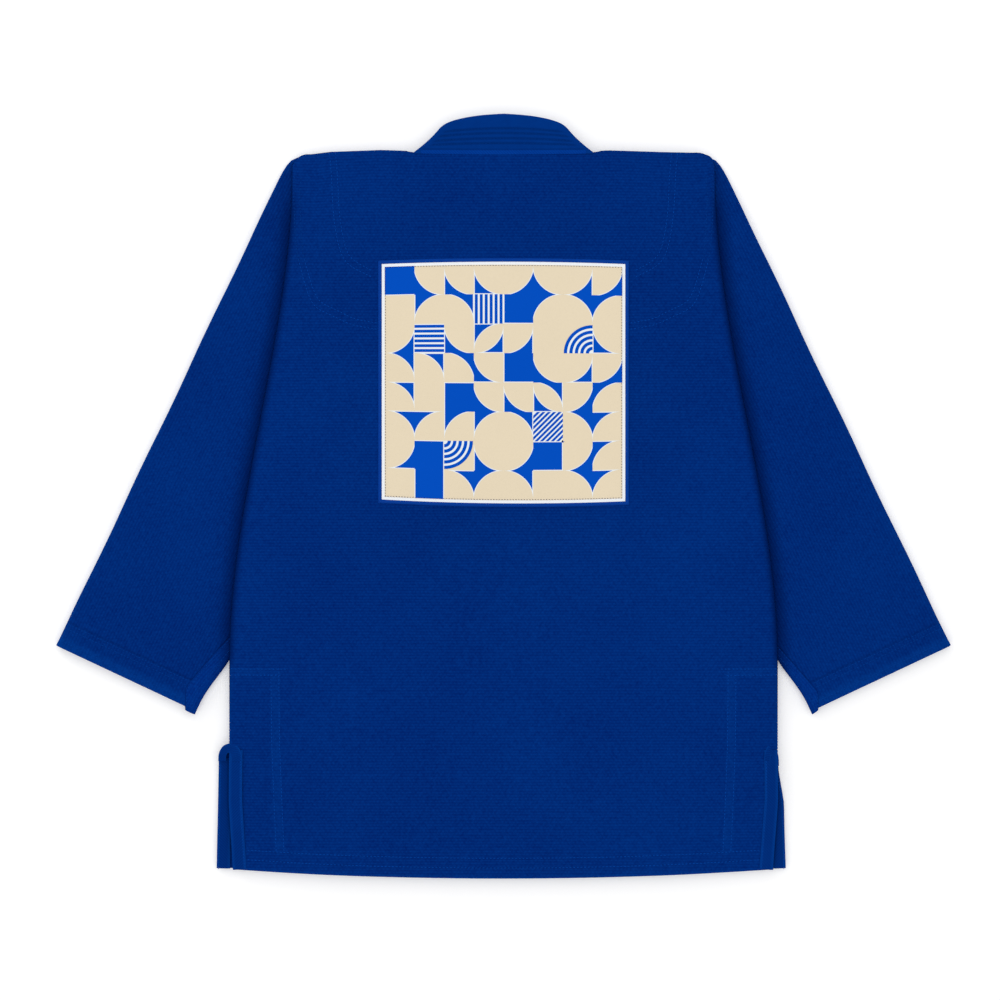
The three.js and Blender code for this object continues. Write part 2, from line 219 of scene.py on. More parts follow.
def fineTwill(name, look, tone=1.0):
    s = Shader(name)
    flat = s.flat()
    line = ridges((flat["X"] + flat["Y"]) / (look["pitch"] * mm))
    fuzz = s.noise(700.0, 2.0)
    wash = s.noise(14.0, 3.0, 0.6)
    shade = (line * 0.4 + fuzz * 0.3 + (wash - 0.5) * 0.6 + 0.15).clamp()
    colour = s.mix(shade, toned(look["dark"], tone), toned(look["light"], tone))
    colour = s.mix((s.mark("worn") * (0.3 + fuzz * 0.6)).clamp(), colour, pearl["worn"])
    # painted shade: darker where shade falls in grooves and beside overlapping edges
    colour = s.mix((s.mark("painted_shade") * 0.7).clamp(), colour, toned(look["dark"], 0.4))
    return s.finish(colour, 0.78 + (fuzz - 0.5) * 0.1, (line * look["relief"] + fuzz * 0.06) * mm, 0.05,
                    pearl["sheenTint"], 0.0)


def canvas(name, colour, variation=0.06, roughness=0.8):
    s = Shader(name)
    fine = s.noise(420.0, 2.0)
    wash = s.noise(16.0, 3.0)
    shade = (fine * 0.5 + wash * 0.5).clamp()
    mixed = s.mix(shade, toned(colour, 1 - variation), toned(colour, 1 + variation))
    return s.finish(mixed, roughness + (fine - 0.5) * 0.1, fine * 0.12 * mm, 0.0, (1, 1, 1), 0.02)


def satinThread(name):
    # threads laid side by side across the border; X of the flat coordinates runs along the border
    s = Shader(name)
    flat = s.flat()
    thread = ridges(flat["X"] / (0.9 * mm))
    fuzz = s.noise(300.0, 2.0)
    colour = s.mix((thread * 0.6 + fuzz * 0.4).clamp(), (0.0005, 0.030, 0.24), (0.001, 0.062, 0.40))
    return s.finish(colour, 0.55 + (fuzz - 0.5) * 0.2, thread * 0.2 * mm, 0.0, (1, 1, 1), 0.05)


bodyCloth = pearlWeave("body_cloth")
bodyClothRibbed = pearlWeave("body_cloth_ribbed", 1.0, 0.55)  # its ribs are already in the mesh
bandDark = fineTwill("band_inside", twill, 0.85)
ventTape = fineTwill("vent_tape", tape, 1.05)
lipTape = fineTwill("collar_lip", tape, 1.5)
seamCloth = pearlWeave("seam_cloth", 1.18, 0.5)
thread = canvas("sewing_thread", (0.0013, 0.062, 0.37), 0.2, 0.6)
cuffThread = canvas("cuff_thread", (0.001, 0.050, 0.300), 0.2, 0.7)
quietThread = canvas("matching_thread", (0.0008, 0.040, 0.250), 0.2, 0.7)
patchWhite = canvas("patch_white", (0.88, 0.91, 0.95), 0.03)
patchCream = canvas("patch_cream", (0.80, 0.685, 0.50), 0.05)
patchInk = canvas("patch_ink", (0.0006, 0.076, 0.52), 0.05)
patchOutline = canvas("patch_line", (0.82, 0.86, 0.88), 0.03)
patchThread = canvas("patch_thread", (0.02, 0.03, 0.12), 0.2, 0.7)
satin = satinThread("patch_border")
print("materials made")


# meshes from grids of points

def smooth(low, high, value):
    share = np.clip((np.asarray(value, float) - low) / (high - low), 0, 1)
    return share * share * (3 - 2 * share)


def roundEdge(distance, radius, least=0.0):  # a quarter circle, from 0 at an edge to 1 a radius inside it
    return np.sqrt(np.clip(1 - (1 - np.clip(distance / radius, least, 1)) ** 2, 0, 1))


def pairUp(a, b):
    return np.stack(np.broadcast_arrays(a, b), -1)


def makeObject(name, points, faces, material, flat=None, faceMaterial=None, sharp=55):
    mesh = bpy.data.meshes.new(name)
    mesh.from_pydata((np.asarray(points) * mm).tolist(), [], faces)
    for m in material if isinstance(material, list) else [material]:
        mesh.materials.append(m)
    if faceMaterial is not None:
        mesh.polygons.foreach_set("material_index", faceMaterial)
    if flat is not None:
        layer = mesh.uv_layers.new(name="flat")
        layer.data.foreach_set("uv", (np.asarray(flat).reshape(-1) * mm).astype(np.float32))
    mesh.polygons.foreach_set("use_smooth", [True] * len(mesh.polygons))
    mesh.set_sharp_from_angle(angle=math.radians(sharp))
    mesh.update()
    return putInScene(name, mesh)


def markCloth(piece, name, amounts):
    # one mark says how much shade is painted into each point's colour, in folds, grooves and beside overlapping edges,
    # worn how rubbed it is, from 0 to 1
    layer = piece.data.attributes.new(name, "FLOAT", "POINT")
    layer.data.foreach_set("value", np.asarray(amounts, np.float32).reshape(-1))


def markBoth(piece, name, amounts, shape=None):  # the same on the upper and the under face
    if shape:
        amounts = np.broadcast_to(amounts, shape)
    markCloth(piece, name, np.tile(amounts.reshape(-1), 2))


def gridMesh(name, top, under, flat, material, wrap=False, sharp=55):
    # rows of points for the two faces of a cloth, walled round its edges; wrap joins the last column to the first
    rows, columns = top.shape[:2]
    count = rows * columns
    points = np.concatenate([top.reshape(-1, 3), under.reshape(-1, 3)])
    index = np.arange(count).reshape(rows, columns)
    if wrap:
        index = np.concatenate([index, index[:, :1]], axis=1)
    place = np.arange(flat.shape[0] * flat.shape[1]).reshape(flat.shape[:2])

    def quads(grid):
        return np.stack([grid[:-1, :-1], grid[:-1, 1:], grid[1:, 1:], grid[1:, :-1]], -1).reshape(-1, 4)

    upper, upperFlat = quads(index), quads(place)
    lower, lowerFlat = upper[:, ::-1] + count, upperFlat[:, ::-1]
    runs = [(index[0], place[0]), (index[-1][::-1], place[-1][::-1])]
    if not wrap:
        runs += [(index[:, -1], place[:, -1]), (index[::-1, 0], place[::-1, 0])]
    walls = np.concatenate([np.stack([i[:-1], i[:-1] + count, i[1:] + count, i[1:]], -1) for i, p in runs])
    wallFlat = np.concatenate([np.stack([p[:-1], p[:-1], p[1:], p[1:]], -1) for i, p in runs])
    faces = np.concatenate([upper, lower, walls])
    corners = np.concatenate([upperFlat, lowerFlat, wallFlat])
    a, b, c, d = (points[faces[:, k]] for k in range(4))
    volume = (np.einsum("ij,ij->i", a, np.cross(b, c)) + np.einsum("ij,ij->i", a, np.cross(c, d))).sum()
    if volume < 0:
        faces, corners = faces[:, ::-1], corners[:, ::-1]
    return makeObject(name, points, faces.tolist(), material, flat.reshape(-1, 2)[corners], None, sharp)


def clothMesh(name, x, y, top, under, flat, material):  # from a plan and the heights of the two faces
    x, y, top, under = np.broadcast_arrays(x, y, top, under)
    return gridMesh(name, np.stack([x, y, top], -1), np.stack([x, y, under], -1), flat, material)


def flatArea(flat):
    # area of the cut cloth, in square metres
    a, b, c, d = flat[:-1, :-1], flat[:-1, 1:], flat[1:, 1:], flat[1:, :-1]
    one, two = c - a, d - b
    return float(np.abs(one[..., 0] * two[..., 1] - one[..., 1] * two[..., 0]).sum() / 2) * mm * mm


def assign(piece, nodes, body=None):
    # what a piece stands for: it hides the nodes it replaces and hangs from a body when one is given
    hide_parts(*nodes)
    if body:
        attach(piece, body)


# the jacket's outline and the heights of its layers

outline = {"bodyHalf": 297.0, "shoulderHalf": 229.0, "shoulderY": 373.7, "corner": 20.0, "flareEnd": -180.0,
           "ventY": -268.0, "hemY": -404.0, "hemDip": 9.6, "tailTaper": 5.0, "neckHalf": 97.0, "neckY": 371.2}
layers = {"backTop": 19.4, "cloth": 1.8, "frontUnder": 7.3, "sleeve": 12.0, "sleeveUnderBody": 6.9, "lining": 1.1}
wrinkles = {"seed": 4, "waves": 16, "height": 0.85, "shortest": 70.0, "longest": 260.0}

ripple = random.Random(wrinkles["seed"])
waveList = []
for i in range(wrinkles["waves"]):
    length = ripple.uniform(wrinkles["shortest"], wrinkles["longest"])
    angle = ripple.uniform(0, tau)
    waveList.append((math.cos(angle) * tau / length, math.sin(angle) * tau / length,
                     ripple.uniform(0, tau), length / wrinkles["longest"]))


def waviness(x, y):
    total = sum(size * np.sin(kx * x + ky * y + phase) for kx, ky, phase, size in waveList)
    return wrinkles["height"] * total / math.sqrt(len(waveList))


def sideHalf(y):  # half the body's width, without the shoulder corners
    o = outline
    share = smooth(o["flareEnd"], o["shoulderY"] - o["corner"], y)
    taper = o["tailTaper"] * np.clip((o["ventY"] - y) / (o["ventY"] - o["hemY"]), 0, 1)
    return o["bodyHalf"] - (o["bodyHalf"] - o["shoulderHalf"]) * share - taper


def bodyHalf(y):
    o = outline
    centre = o["shoulderY"] - o["corner"]
    rise = np.clip(np.asarray(y, float) - centre, 0, o["corner"])
    return np.where(rise > 0, o["shoulderHalf"] - o["corner"] + np.sqrt(o["corner"] ** 2 - rise ** 2), sideHalf(y))


def edgeDistance(x, y):  # how far inside the body's side and shoulder edges a point is
    o = outline
    cx, cy = o["shoulderHalf"] - o["corner"], o["shoulderY"] - o["corner"]
    ax = np.abs(x)
    straight = np.minimum(sideHalf(y) - ax, o["shoulderY"] - y)
    rounded = o["corner"] - np.hypot(np.maximum(ax - cx, 0), np.maximum(y - cy, 0))
    return np.maximum(np.where((ax > cx) & (y > cy), rounded, straight), 0)


shoulderLine = [(-229, 0.0), (-225, -1.5), (-209, -3.6), (-187, -0.9), (-160, 0.0), (-133, 1.1), (-109, 0.3),
                (-97, 0.0),
                (97, 0.0), (115, 0.7), (169, -1.1), (205, -1.8), (219, -1.3), (226, 1.6), (229, 0.0)]


def droop(x, y):
    # the shoulders aren't quite level as the jacket lies
    xs, ys = zip(*shoulderLine)
    return np.interp(x, xs, ys) * smooth(270, 366, y)


def hemLine(x):
    return outline["hemY"] - outline["hemDip"] * (1 - (x / outline["bodyHalf"]) ** 2)


patch = {"half": 132.0, "low": -4.2, "high": 251.0}


def patchFade(x, y):  # 0 under the patch, 1 away from it
    return smooth(4, 50, np.maximum(np.abs(x) - patch["half"],
                                    np.maximum(patch["low"] - y, y - patch["high"])))


def backTop(x, y):
    o = outline
    inBody = smooth(o["ventY"] - 18, o["ventY"] + 4, y)
    inside = edgeDistance(x, y)
    neck = smooth(o["neckHalf"] - 6, o["neckHalf"] + 8, np.abs(x))
    sideIn = np.maximum(sideHalf(y) - np.abs(x), 0)
    turn = 6.4
    inside = np.where(neck < 1, np.where(sideIn < o["shoulderY"] - y, inside, inside + (1 - neck) * turn), inside)
    curl = turn - np.sqrt(np.maximum(turn ** 2 - np.maximum(turn - inside, 0) ** 2, 0))
    sag = (2.4 * (1 - smooth(0, 62, sideIn)) * smooth(-420, -150, y)
           + 2.6 * (1 - smooth(0, 90, sideIn)) * (1 - inBody))
    hemSag = 2.8 * (1 - smooth(0, 80, y - hemLine(x)))
    crown = 0.5 * smooth(0, 300, sideIn)
    hemBand = 0.35 * (1 - smooth(21.5, 24.0, y - hemLine(x)))
    wave = waviness(x, y) * patchFade(x, y) * smooth(0, 30, inside + 30 * (1 - inBody))
    return layers["backTop"] - curl * inBody - sag - hemSag + crown * patchFade(x, y) + hemBand + wave


def frontUnder(x, y):
    inBody = smooth(outline["ventY"] - 18, outline["ventY"] + 4, y)
    turn = 3.6
    inside = edgeDistance(x, y)
    rise = turn - np.sqrt(np.maximum(turn ** 2 - np.maximum(turn - inside, 0) ** 2, 0))
    return layers["frontUnder"] + rise * inBody


def spread(length, step, edge=(0.0, 0.4, 1.2, 2.5, 4.2, 7.0)):
    # distances across a cloth, closer together at both edges
    middle = np.linspace(edge[-1], length - edge[-1], max(int(length / step), 2) + 1)
    return np.concatenate([np.array(edge[:-1]), middle, length - np.array(edge[:-1])[::-1]])


def layFlat(name, rows, heightTop, thickness, material):
    # rows: an array of x, y points, which are also the cloth's own coordinates
    x, y = rows[..., 0], rows[..., 1]
    top = heightTop(x, y)
    under = top - thickness
    flat = np.stack([x, y], -1)
    return clothMesh(name, x, y, top, under, flat, material), flatArea(flat)


def stripRows(path, width, steps):
    # a strip of even width along a path: rows follow the path, columns go across it
    path = np.asarray(path, float)
    along = np.gradient(path, axis=0)
    along /= np.linalg.norm(along, axis=1)[:, None]
    side = np.stack([along[:, 1], -along[:, 0]], -1)
    across = np.linspace(-width / 2, width / 2, steps)
    return path[:, None, :] + side[:, None, :] * across[None, :, None]


def densify(points, step):
    # even steps along straight stretches between points
    points = np.asarray(points, float)
    parts = [points[:1]]
    for a, b in zip(points[:-1], points[1:]):
        count = max(int(np.linalg.norm(b - a) / step), 1)
        parts.append(a + (b - a) * (np.arange(1, count + 1) / count)[:, None])
    return np.concatenate(parts)


def roundOff(points, times=3):
    # cuts the corners of a line until it is a curve; the ends stay where they are
    points = np.asarray(points, float)
    for _ in range(times):
        a, b = points[:-1], points[1:]
        cut = np.stack([a * 0.75 + b * 0.25, a * 0.25 + b * 0.75], 1).reshape(-1, points.shape[1])
        points = np.concatenate([points[:1], cut[1:-1], points[-1:]])
    return points


def bendAtTail(piece):
    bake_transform(piece)


sideSign = {"right": 1, "left": -1}


def bendAcross(piece, side, body):
    # only bakes the piece's placement into its mesh; nothing is bent
    side + body
    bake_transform(piece)


# the back, with ribs in the mesh, from the shoulder fold to the hem

backCut = {"rowStep": 0.8, "columnStep": 26.0, "doubled": [236.0, 238.0, 246.5, 248.5], "rib": 0.11,
           "selvedge": 0.42, "shadeWidth": 9.0, "stripRub": 0.25, "crossRub": 0.22, "edgeRub": 0.5, "hemRub": 0.45,
           "shade": 0.95}


def makeBack():
    o = outline
    count = int((o["shoulderY"] - o["hemY"] + o["hemDip"]) / backCut["rowStep"])
    share = np.linspace(0, 1, count)[:, None]
    halfHem = sideHalf(o["hemY"])
    columns = spread(2 * halfHem, backCut["columnStep"], (0.0, 0.4, 1.2, 2.5, 4.2, 6.4, 10.0)) / halfHem - 1  # -1 to 1
    doubled = np.array(backCut["doubled"]) / halfHem  # columns along the sewn-down strips
    columns = np.unique(np.concatenate([columns, doubled, -doubled]))
    edgeX = columns[None, :] * halfHem
    topX = np.abs(columns[None, :] * (o["shoulderHalf"] - o["corner"]))
    topY = o["neckY"] + (o["shoulderY"] - o["neckY"]) * smooth(o["neckHalf"] - 4, o["neckHalf"] + 6, topX)
    y = hemLine(edgeX) + (topY - hemLine(edgeX)) * share
    y[-1] = topY
    half = bodyHalf(y)
    rib = -np.cos(tau * y / pearl["pitch"])
    # distances from the side edge stay the same all the way up
    x = columns * half
    x = x * (1 + backCut["selvedge"] * rib * (np.abs(columns) > 0.999) / half)
    top = backTop(x, y) + backCut["rib"] * rib * smooth(0, 3, edgeDistance(x, y) + 3 * (y < o["ventY"]))
    under = backTop(x, y) - layers["cloth"]
    flat = np.stack([x, y], -1)
    y = y + droop(x, y)
    back = clothMesh("back_cloth", x, y, top, under, flat, bodyClothRibbed)
    strip = np.abs(columns * halfHem)
    low, first, last, high = backCut["doubled"]
    rub = backCut["stripRub"] * smooth(low, first, strip) * (1 - smooth(last, high, strip)) * smooth(186, 192, -y)
    rub = rub * smooth(-2, 4, y - hemLine(x) - 20)
    level = (smooth(-196, -194, y) * (1 - smooth(-187, -185, y)) * smooth(240, 244, np.abs(x))
             * backCut["crossRub"])
    sideIn = sideHalf(y) - np.abs(x)
    rub = np.maximum(rub, level) + backCut["edgeRub"] * (1 - smooth(0.5, 4.0, sideIn)) * smooth(175, 195, -y)
    rub = np.maximum(rub, backCut["hemRub"] * (1 - smooth(0.5, 3.5, y - hemLine(x))))
    markBoth(back, "worn", rub)
    # painted shade along the back's side edges, where they turn under, fading towards the skirt and the shoulders
    deep = (backCut["shade"] * (1 - smooth(0.5, backCut["shadeWidth"], sideIn))
            * (1 - smooth(165, 195, -y)) * (1 - smooth(300, 345, y)))
    markBoth(back, "painted_shade", deep)
    flatArea(flat)
    assign(back, ["back_panel", "tail_panel"])
    bendAtTail(back)


makeBack()
print("back made")

# fronts, under the back

frontCut = {"lapelNeck": 75.0, "lapelHem": 38.0, "lapelTop": 370.0, "foldTop": 118.0, "skirtDrop": 3.6, "least": 7.15,
            "hemTop": 10.9, "hemThick": 1.2, "hemLow": 0.6, "hemHigh": 22.0}
frontFlare = {"right": (-290.0, -338.0, 7.8), "left": (-262.0, -300.0, 12.4)}


def lapelX(y):
    f = frontCut
    return f["lapelHem"] + (f["lapelNeck"] - f["lapelHem"]) * (y - outline["hemY"]) / (f["lapelTop"] - outline["hemY"])


def frontEdge(y, side):
    start, end, out = frontFlare[side]
    flare = (out + 1.6 * np.clip((end - y) / 80, 0, 1)) * smooth(-start, -end, -y)
    return np.where(y > outline["ventY"], bodyHalf(y), outline["bodyHalf"] + flare)


def bendAtFront(piece, side):
    # bakes a front piece's placement into its mesh; nothing is folded
    bendAcross(piece, side, "_front")


def makeFront(side):
    k = sideSign[side]
    share = spread(outline["shoulderY"] - outline["hemY"], 6.0) / (outline["shoulderY"] - outline["hemY"])
    y = (outline["hemY"] + (outline["shoulderY"] - outline["hemY"]) * share)[:, None]
    inner, outer = lapelX(y) - 6, frontEdge(y, side)
    across = np.concatenate([np.linspace(0, 0.9, 60), 1 - np.array([18.0, 8.0, 4.2, 2.5, 1.2, 0.4, 0.0]) / 260])
    x = inner + (outer - inner) * across[None, :]
    y = np.broadcast_to(y, x.shape)
    neckIn = 4.0 * (1 - smooth(outline["neckHalf"], outline["neckHalf"] + 8, x)) * smooth(330, 373, y)
    y = y - neckIn
    drop = frontCut["skirtDrop"] * smooth(80, 150, x) * (1 - smooth(-330, -210, y))
    sag = frontUnder(x, y) - drop + 0.35 * waviness(x * 0.9 + 70, y) * smooth(0, 40, edgeDistance(x, y))
    under = np.maximum(sag, frontCut["least"] - drop)
    top = under + layers["cloth"]
    flat = np.stack([x, y], -1)
    y = y + droop(k * x, y)
    front = clothMesh("front_cloth_" + side, k * x, y, top, under, flat, bodyCloth)
    flatArea(flat)
    assign(front, [side + "_front_panel", side + "_front_side", side + "_shoulder_fold"])
    bendAtFront(front, side)
    makeFrontHem(side)


def makeFrontHem(side):  # turned to the inside
    k = sideSign[side]
    low, high = outline["hemY"] + frontCut["hemLow"], outline["hemY"] + frontCut["hemHigh"]
    hx = np.linspace(lapelX(low) + 24, frontEdge(np.array(low), side) - 16, 20)
    rows = np.stack(np.meshgrid(hx, np.linspace(low, high, 5)), -1)

    def height(x, y):
        edges = np.abs(y - low - 10.7) > 10
        return frontCut["hemTop"] - frontCut["skirtDrop"] * smooth(80, 150, k * x) - 0.5 * edges

    piece, area = layFlat("front_hem_" + side, rows * [k, 1], height, frontCut["hemThick"], seamCloth)
    assign(piece, [side + "_front_hem"], side + "_front")


for side in sideSign:
    makeFront(side)
print("fronts made")

# sleeves: flattened tubes that thin out where they pass under the body

sleeveCut = {
    "outer": [(203, 363), (214, 368.0), (223, 368.4), (229.5, 366.2), (235.0, 360.4), (240.2, 352.0), (247.6, 337.0),
              (360, 100.2), (479.3, -149.5), (485.6, -161.5)],
    "lower": [(254, -20), (290.0, -160.0), (297.5, -179.0), (319.0, -207.0), (328, -220), (335.4, -232.2)],
    "fold": [(236.67, 364.66), (304.67, -179.04)], "axis": (0.4405, -0.898), "edgeRadius": 5.5, "hem": 28.0,
    "stations": 74,
    "shadeWidth": 19.0,
}
sleeveCuff = (np.array([485.6, -161.5]), np.array([335.4, -232.2]))
cuffWidth = np.linalg.norm(sleeveCuff[1] - sleeveCuff[0])


def acrossCuff(distances, back):  # points across the sleeve's end, some way up from it
    a, b = sleeveCuff
    along = (b - a) / cuffWidth
    return a + along * distances[:, None] + np.array([along[1], -along[0]]) * back


def alongLine(points, shares):
    points = roundOff(np.asarray(points, float), 2)
    steps = np.concatenate([[0], np.cumsum(np.linalg.norm(np.diff(points, axis=0), axis=1))])
    where = shares * steps[-1]
    return np.stack([np.interp(where, steps, points[:, 0]), np.interp(where, steps, points[:, 1])], -1)


def sleeveThickness(x, y):
    outside = x - sideHalf(y)
    low, high = layers["sleeveUnderBody"], layers["sleeve"]
    return low + (high - low) * smooth(3, 34, outside)


def cuffDistance(x, y):
    a, b = sleeveCuff
    along = (b - a) / cuffWidth
    return (x - a[0]) * along[1] - (y - a[1]) * along[0]


def sleeveTop(x, y):
    return sleeveThickness(x, y) + 0.55 * waviness(x + 300, y) * smooth(10, 60, x - sideHalf(y))


def flatSleeve(x, y):
    ax, ay = sleeveCut["axis"]
    return np.stack([x * ax + y * ay, -x * ay + y * ax], -1)


def bendAtSleeve(piece, side):
    bendAcross(piece, side, "_sleeve")


def makeSleeve(side):
    c = sleeveCut
    k = sideSign[side]
    shares = np.concatenate([np.linspace(0, 0.88, c["stations"]), np.linspace(0.885, 1, 34)])
    outer, lower = alongLine(c["outer"], shares), alongLine(c["lower"], shares)
    outer[:, 0] += 0.5 * np.sin(shares * 23 + k) * smooth(0.1, 0.25, shares) * (1 - smooth(0.9, 1, shares))
    chord = np.linalg.norm(lower - outer, axis=1)
    gaps = np.array([0.0, 0.3, 1.0, 2.2, 3.8, 5.5, 9.0])
    middle = np.linspace(0, 1, 62)[1:-1]
    shells, paintedShades, worn = [], [], []
    for inset in (0.0, layers["cloth"]):
        loops, flats = [], []
        for a, b, length in zip(outer, lower, chord):
            d = np.concatenate([gaps, 9 + (length - 18) * middle, length - gaps[::-1]])
            profile = roundEdge(np.minimum(d, length - d), c["edgeRadius"])
            shrunk = inset + d * (length - 2 * inset) / length
            xy = a + (b - a) * (shrunk / length)[:, None]
            full = sleeveTop(xy[:, 0], xy[:, 1])
            base = sleeveThickness(xy[:, 0], xy[:, 1])
            hem = 0.75 * (1 - smooth(c["hem"] - 0.6, c["hem"] + 0.9, cuffDistance(xy[:, 0], xy[:, 1])))
            up = (full - base / 2 - inset + hem * (inset == 0)) * profile
            down = (base / 2 - inset) * profile
            half = base / 2
            topLine = np.column_stack([xy, half + up])
            lowLine = np.column_stack([xy, half - down])[::-1]
            loops.append(np.concatenate([topLine, lowLine[1:-1]]))
            # painted shadow on the sleeve beside the body's edge, where the body overhangs it, fading towards the
            # shoulder; painted shade along the cuff's hem line
            deep = 1 - smooth(0, c["shadeWidth"], xy[:, 0] - sideHalf(xy[:, 1]))
            deep = deep * (1 - 0.85 * smooth(290, 350, xy[:, 1]))
            back = cuffDistance(xy[:, 0], xy[:, 1])
            deep = deep + 0.5 * np.exp(-((back - c["hem"] - 0.8) / 1.0) ** 2)
            paintedShades.append(np.concatenate([deep, 0 * deep[1:-1]]))
            rub = (1 - smooth(7, 15, back)) * 0.55 + 0.3 * (1 - smooth(1, 7, np.minimum(d, length - d)))
            worn.append(np.concatenate([rub, rub[::-1][1:-1]]))
            flatTop = flatSleeve(xy[:, 0], xy[:, 1])
            flats.append(np.concatenate([flatTop, flatTop[::-1][1:]]))
        shells.append(np.array(loops) * [k, 1, 1])
        if not inset:
            flat = np.array(flats)
    sleeve = gridMesh("sleeve_" + side, shells[0], shells[1], flat, bodyCloth, wrap=True)
    markCloth(sleeve, "painted_shade", np.concatenate(paintedShades))
    markCloth(sleeve, "worn", np.concatenate(worn))
    flatArea(flat)  # opened out along its upper fold
    assign(sleeve, [side + "_sleeve_" + n for n in ("front", "back", "fold", "head_front", "head_back")])
    bendAtSleeve(sleeve, side)


seamStrip = {"right": 13.5, "left": 20.0}
seamStations = 44


def seamEdges(side):
    # the strip's outer edge runs with the sleeve, its inner edge is nearly straight; both end in a tab past the cuff
    width = seamStrip[side]
    outer = [(290, -160), (297.5, -179), (319, -207), (328.5, -222.5), (334.9, -236.9)]
    inner = np.array([(276.0, -127.0), (283, -135), (300.8, -155.5), (343, -204), (345.5, -210), (345.0, -231.8)])
    toOuter = (20 - width) * np.array([-0.75, -0.66])
    inner[:-2] += toOuter
    inner[-2:, 0] += toOuter[0] * 0.8
    return alongLine(outer, np.linspace(0, 1, seamStations)), alongLine(inner, np.linspace(0, 1, seamStations))


def makeSleeveSeam(side):
    # the flat felled seam that runs up the lower edge, turned to the back
    k = sideSign[side]
    outer, inner = seamEdges(side)
    share = np.array([0, 0.03, 0.09, 0.2, 0.38, 0.6, 0.78, 0.9, 0.965, 1.0])
    rows = outer[:, None] + (inner - outer)[:, None] * share[None, :, None]
    x, y = rows[..., 0], rows[..., 1]
    wide = np.linalg.norm(inner - outer, axis=1)[:, None]
    depth = share[None, :] * wide
    profile = roundEdge(depth, sleeveCut["edgeRadius"], 0.02)
    half = sleeveThickness(x, y) / 2
    raised = 0.8 * (1 - smooth(wide - 1.0, wide, depth)) + 0.35 * np.exp(-((wide - depth - 2.0) / 1.6) ** 2)
    under = half + (sleeveTop(x, y) - half) * profile
    flat = pairUp(np.arange(seamStations)[:, None] * 2.9, share[None, :] * wide)
    strip = clothMesh("sleeve_seam_" + side, k * x, y, under + 0.25 + raised, under - 0.55, flat, seamCloth)
    # painted shade along the strip's inner edge and painted shadow beside the body's edge
    deep = np.exp(-((wide - depth) / 1.5) ** 2) * 0.8 + (1 - smooth(0, sleeveCut["shadeWidth"], x - sideHalf(y)))
    markBoth(strip, "painted_shade", deep)
    assign(strip, [side + "_sleeve_seam"])
    bendAtSleeve(strip, side)


def makeCuffBand(side):
    # twill tape round the inside of the cuff
    k = sideSign[side]
    width = cuffWidth
    ends = np.array([2.2, 2.8, 4.0, 6.0, 9.0])
    d = np.concatenate([ends, np.linspace(14, width - 14, 16), width - ends[::-1]])
    profile = np.maximum(roundEdge(np.minimum(d, width - d) - 2.0, sleeveCut["edgeRadius"]), math.sqrt(0.02))
    loops, flats = [], []
    for back in np.linspace(0.8, 29, 6):
        xy = acrossCuff(d, back)
        shells = []
        for inset in (2.0, 3.0):
            above = (sleeveTop(xy[:, 0], xy[:, 1]) - 6 - inset) * profile
            below = (6 - inset) * profile
            shells.append(np.concatenate([np.column_stack([xy, 6 + above]),
                                          np.column_stack([xy, 6 - below])[::-1][1:-1]]))
        loops.append(shells)
        ring = np.arange(len(shells[0]) + 1) * 5.0
        flats.append(np.column_stack([ring, np.full(len(ring), back)]))
    outerShell, innerShell = (np.array([shells[i] for shells in loops]) * [k, 1, 1] for i in (0, 1))
    band = gridMesh("cuff_band_" + side, outerShell, innerShell, np.array(flats), ventTape, wrap=True)
    assign(band, [side + "_cuff_band"], side + "_sleeve")


gussetCut = {"x": 229.0, "y": 95.0, "halfWidth": 15.5, "halfLength": 60, "top": 4.4, "thickness": 1.4}


def makeGusset(side):  # a diamond under the arm
    g = gussetCut
    k = sideSign[side]
    u = np.linspace(-1, 1, 9)
    a, b = np.meshgrid(u, u)
    x = g["x"] + (a + b) / 2 * g["halfWidth"]
    y = g["y"] + (b - a) / 2 * g["halfLength"]
    rows = np.stack([x, y], -1) * [k, 1]
    gusset, area = layFlat("armpit_gusset_" + side, rows, lambda px, py: g["top"] + 0 * px,
                           g["thickness"], seamCloth)
    assign(gusset, [side + "_armpit_gusset"], "jacket_back")


for side in sideSign:
    makeSleeve(side)
    makeSleeveSeam(side)
    makeCuffBand(side)
    makeGusset(side)
print("sleeves made")

# side and armhole seams, between the back and the fronts

def makeSeam(name, side, fromY, toY):
    k = sideSign[side]
    y = np.linspace(fromY, toY, 40)
    rows = stripRows(np.stack([sideHalf(y) - 5.2, y], -1), 8.0, 7)
    swell = np.array([0.2, 0.8, 1.1, 1.2, 1.1, 0.8, 0.2])[None, :]
    top = 12.4 + swell
    flat = pairUp(np.linspace(0, 8, 7)[None, :], y[:, None])
    seam = clothMesh(name + "_" + side, rows[..., 0] * k, rows[..., 1], top, top - 0.4 - 2 * swell, flat, seamCloth)
    assign(seam, [side + "_" + name], "jacket_back")


for side in sideSign:
    makeSeam("side_seam", side, -264, 93)
    makeSeam("armhole_seam", side, 96, 333)

# reinforcements sewn inside the back

reinforced = [("side_patch", "side_reinforcement", -266.8, -183, 283.0),  # piece, node, low, high and outer edge
              ("vent_patch", "tail_reinforcement", -381.5, -268.8, 277.0)]
reinforcedFrom = 237.5
yoke = {"x": 193.5, "y": 212.0, "radius": 70.0, "width": 49.0, "top": 345.0}


def liningTop(x, y):
    return backTop(x, y) - layers["cloth"] - 0.15


def yokePath():
    turn = np.linspace(0, -math.pi / 2, 14)
    bend = np.stack([yoke["x"] - yoke["radius"] + yoke["radius"] * np.cos(turn),
                     yoke["y"] + yoke["radius"] + yoke["radius"] * np.sin(turn)], -1)
    right = np.concatenate([densify([(yoke["x"], yoke["top"]), (yoke["x"], bend[0][1])], 8)[:-1], bend])
    left = right[::-1] * [-1, 1]
    return np.concatenate([right, densify([right[-1], left[0]], 12)[1:-1], left])


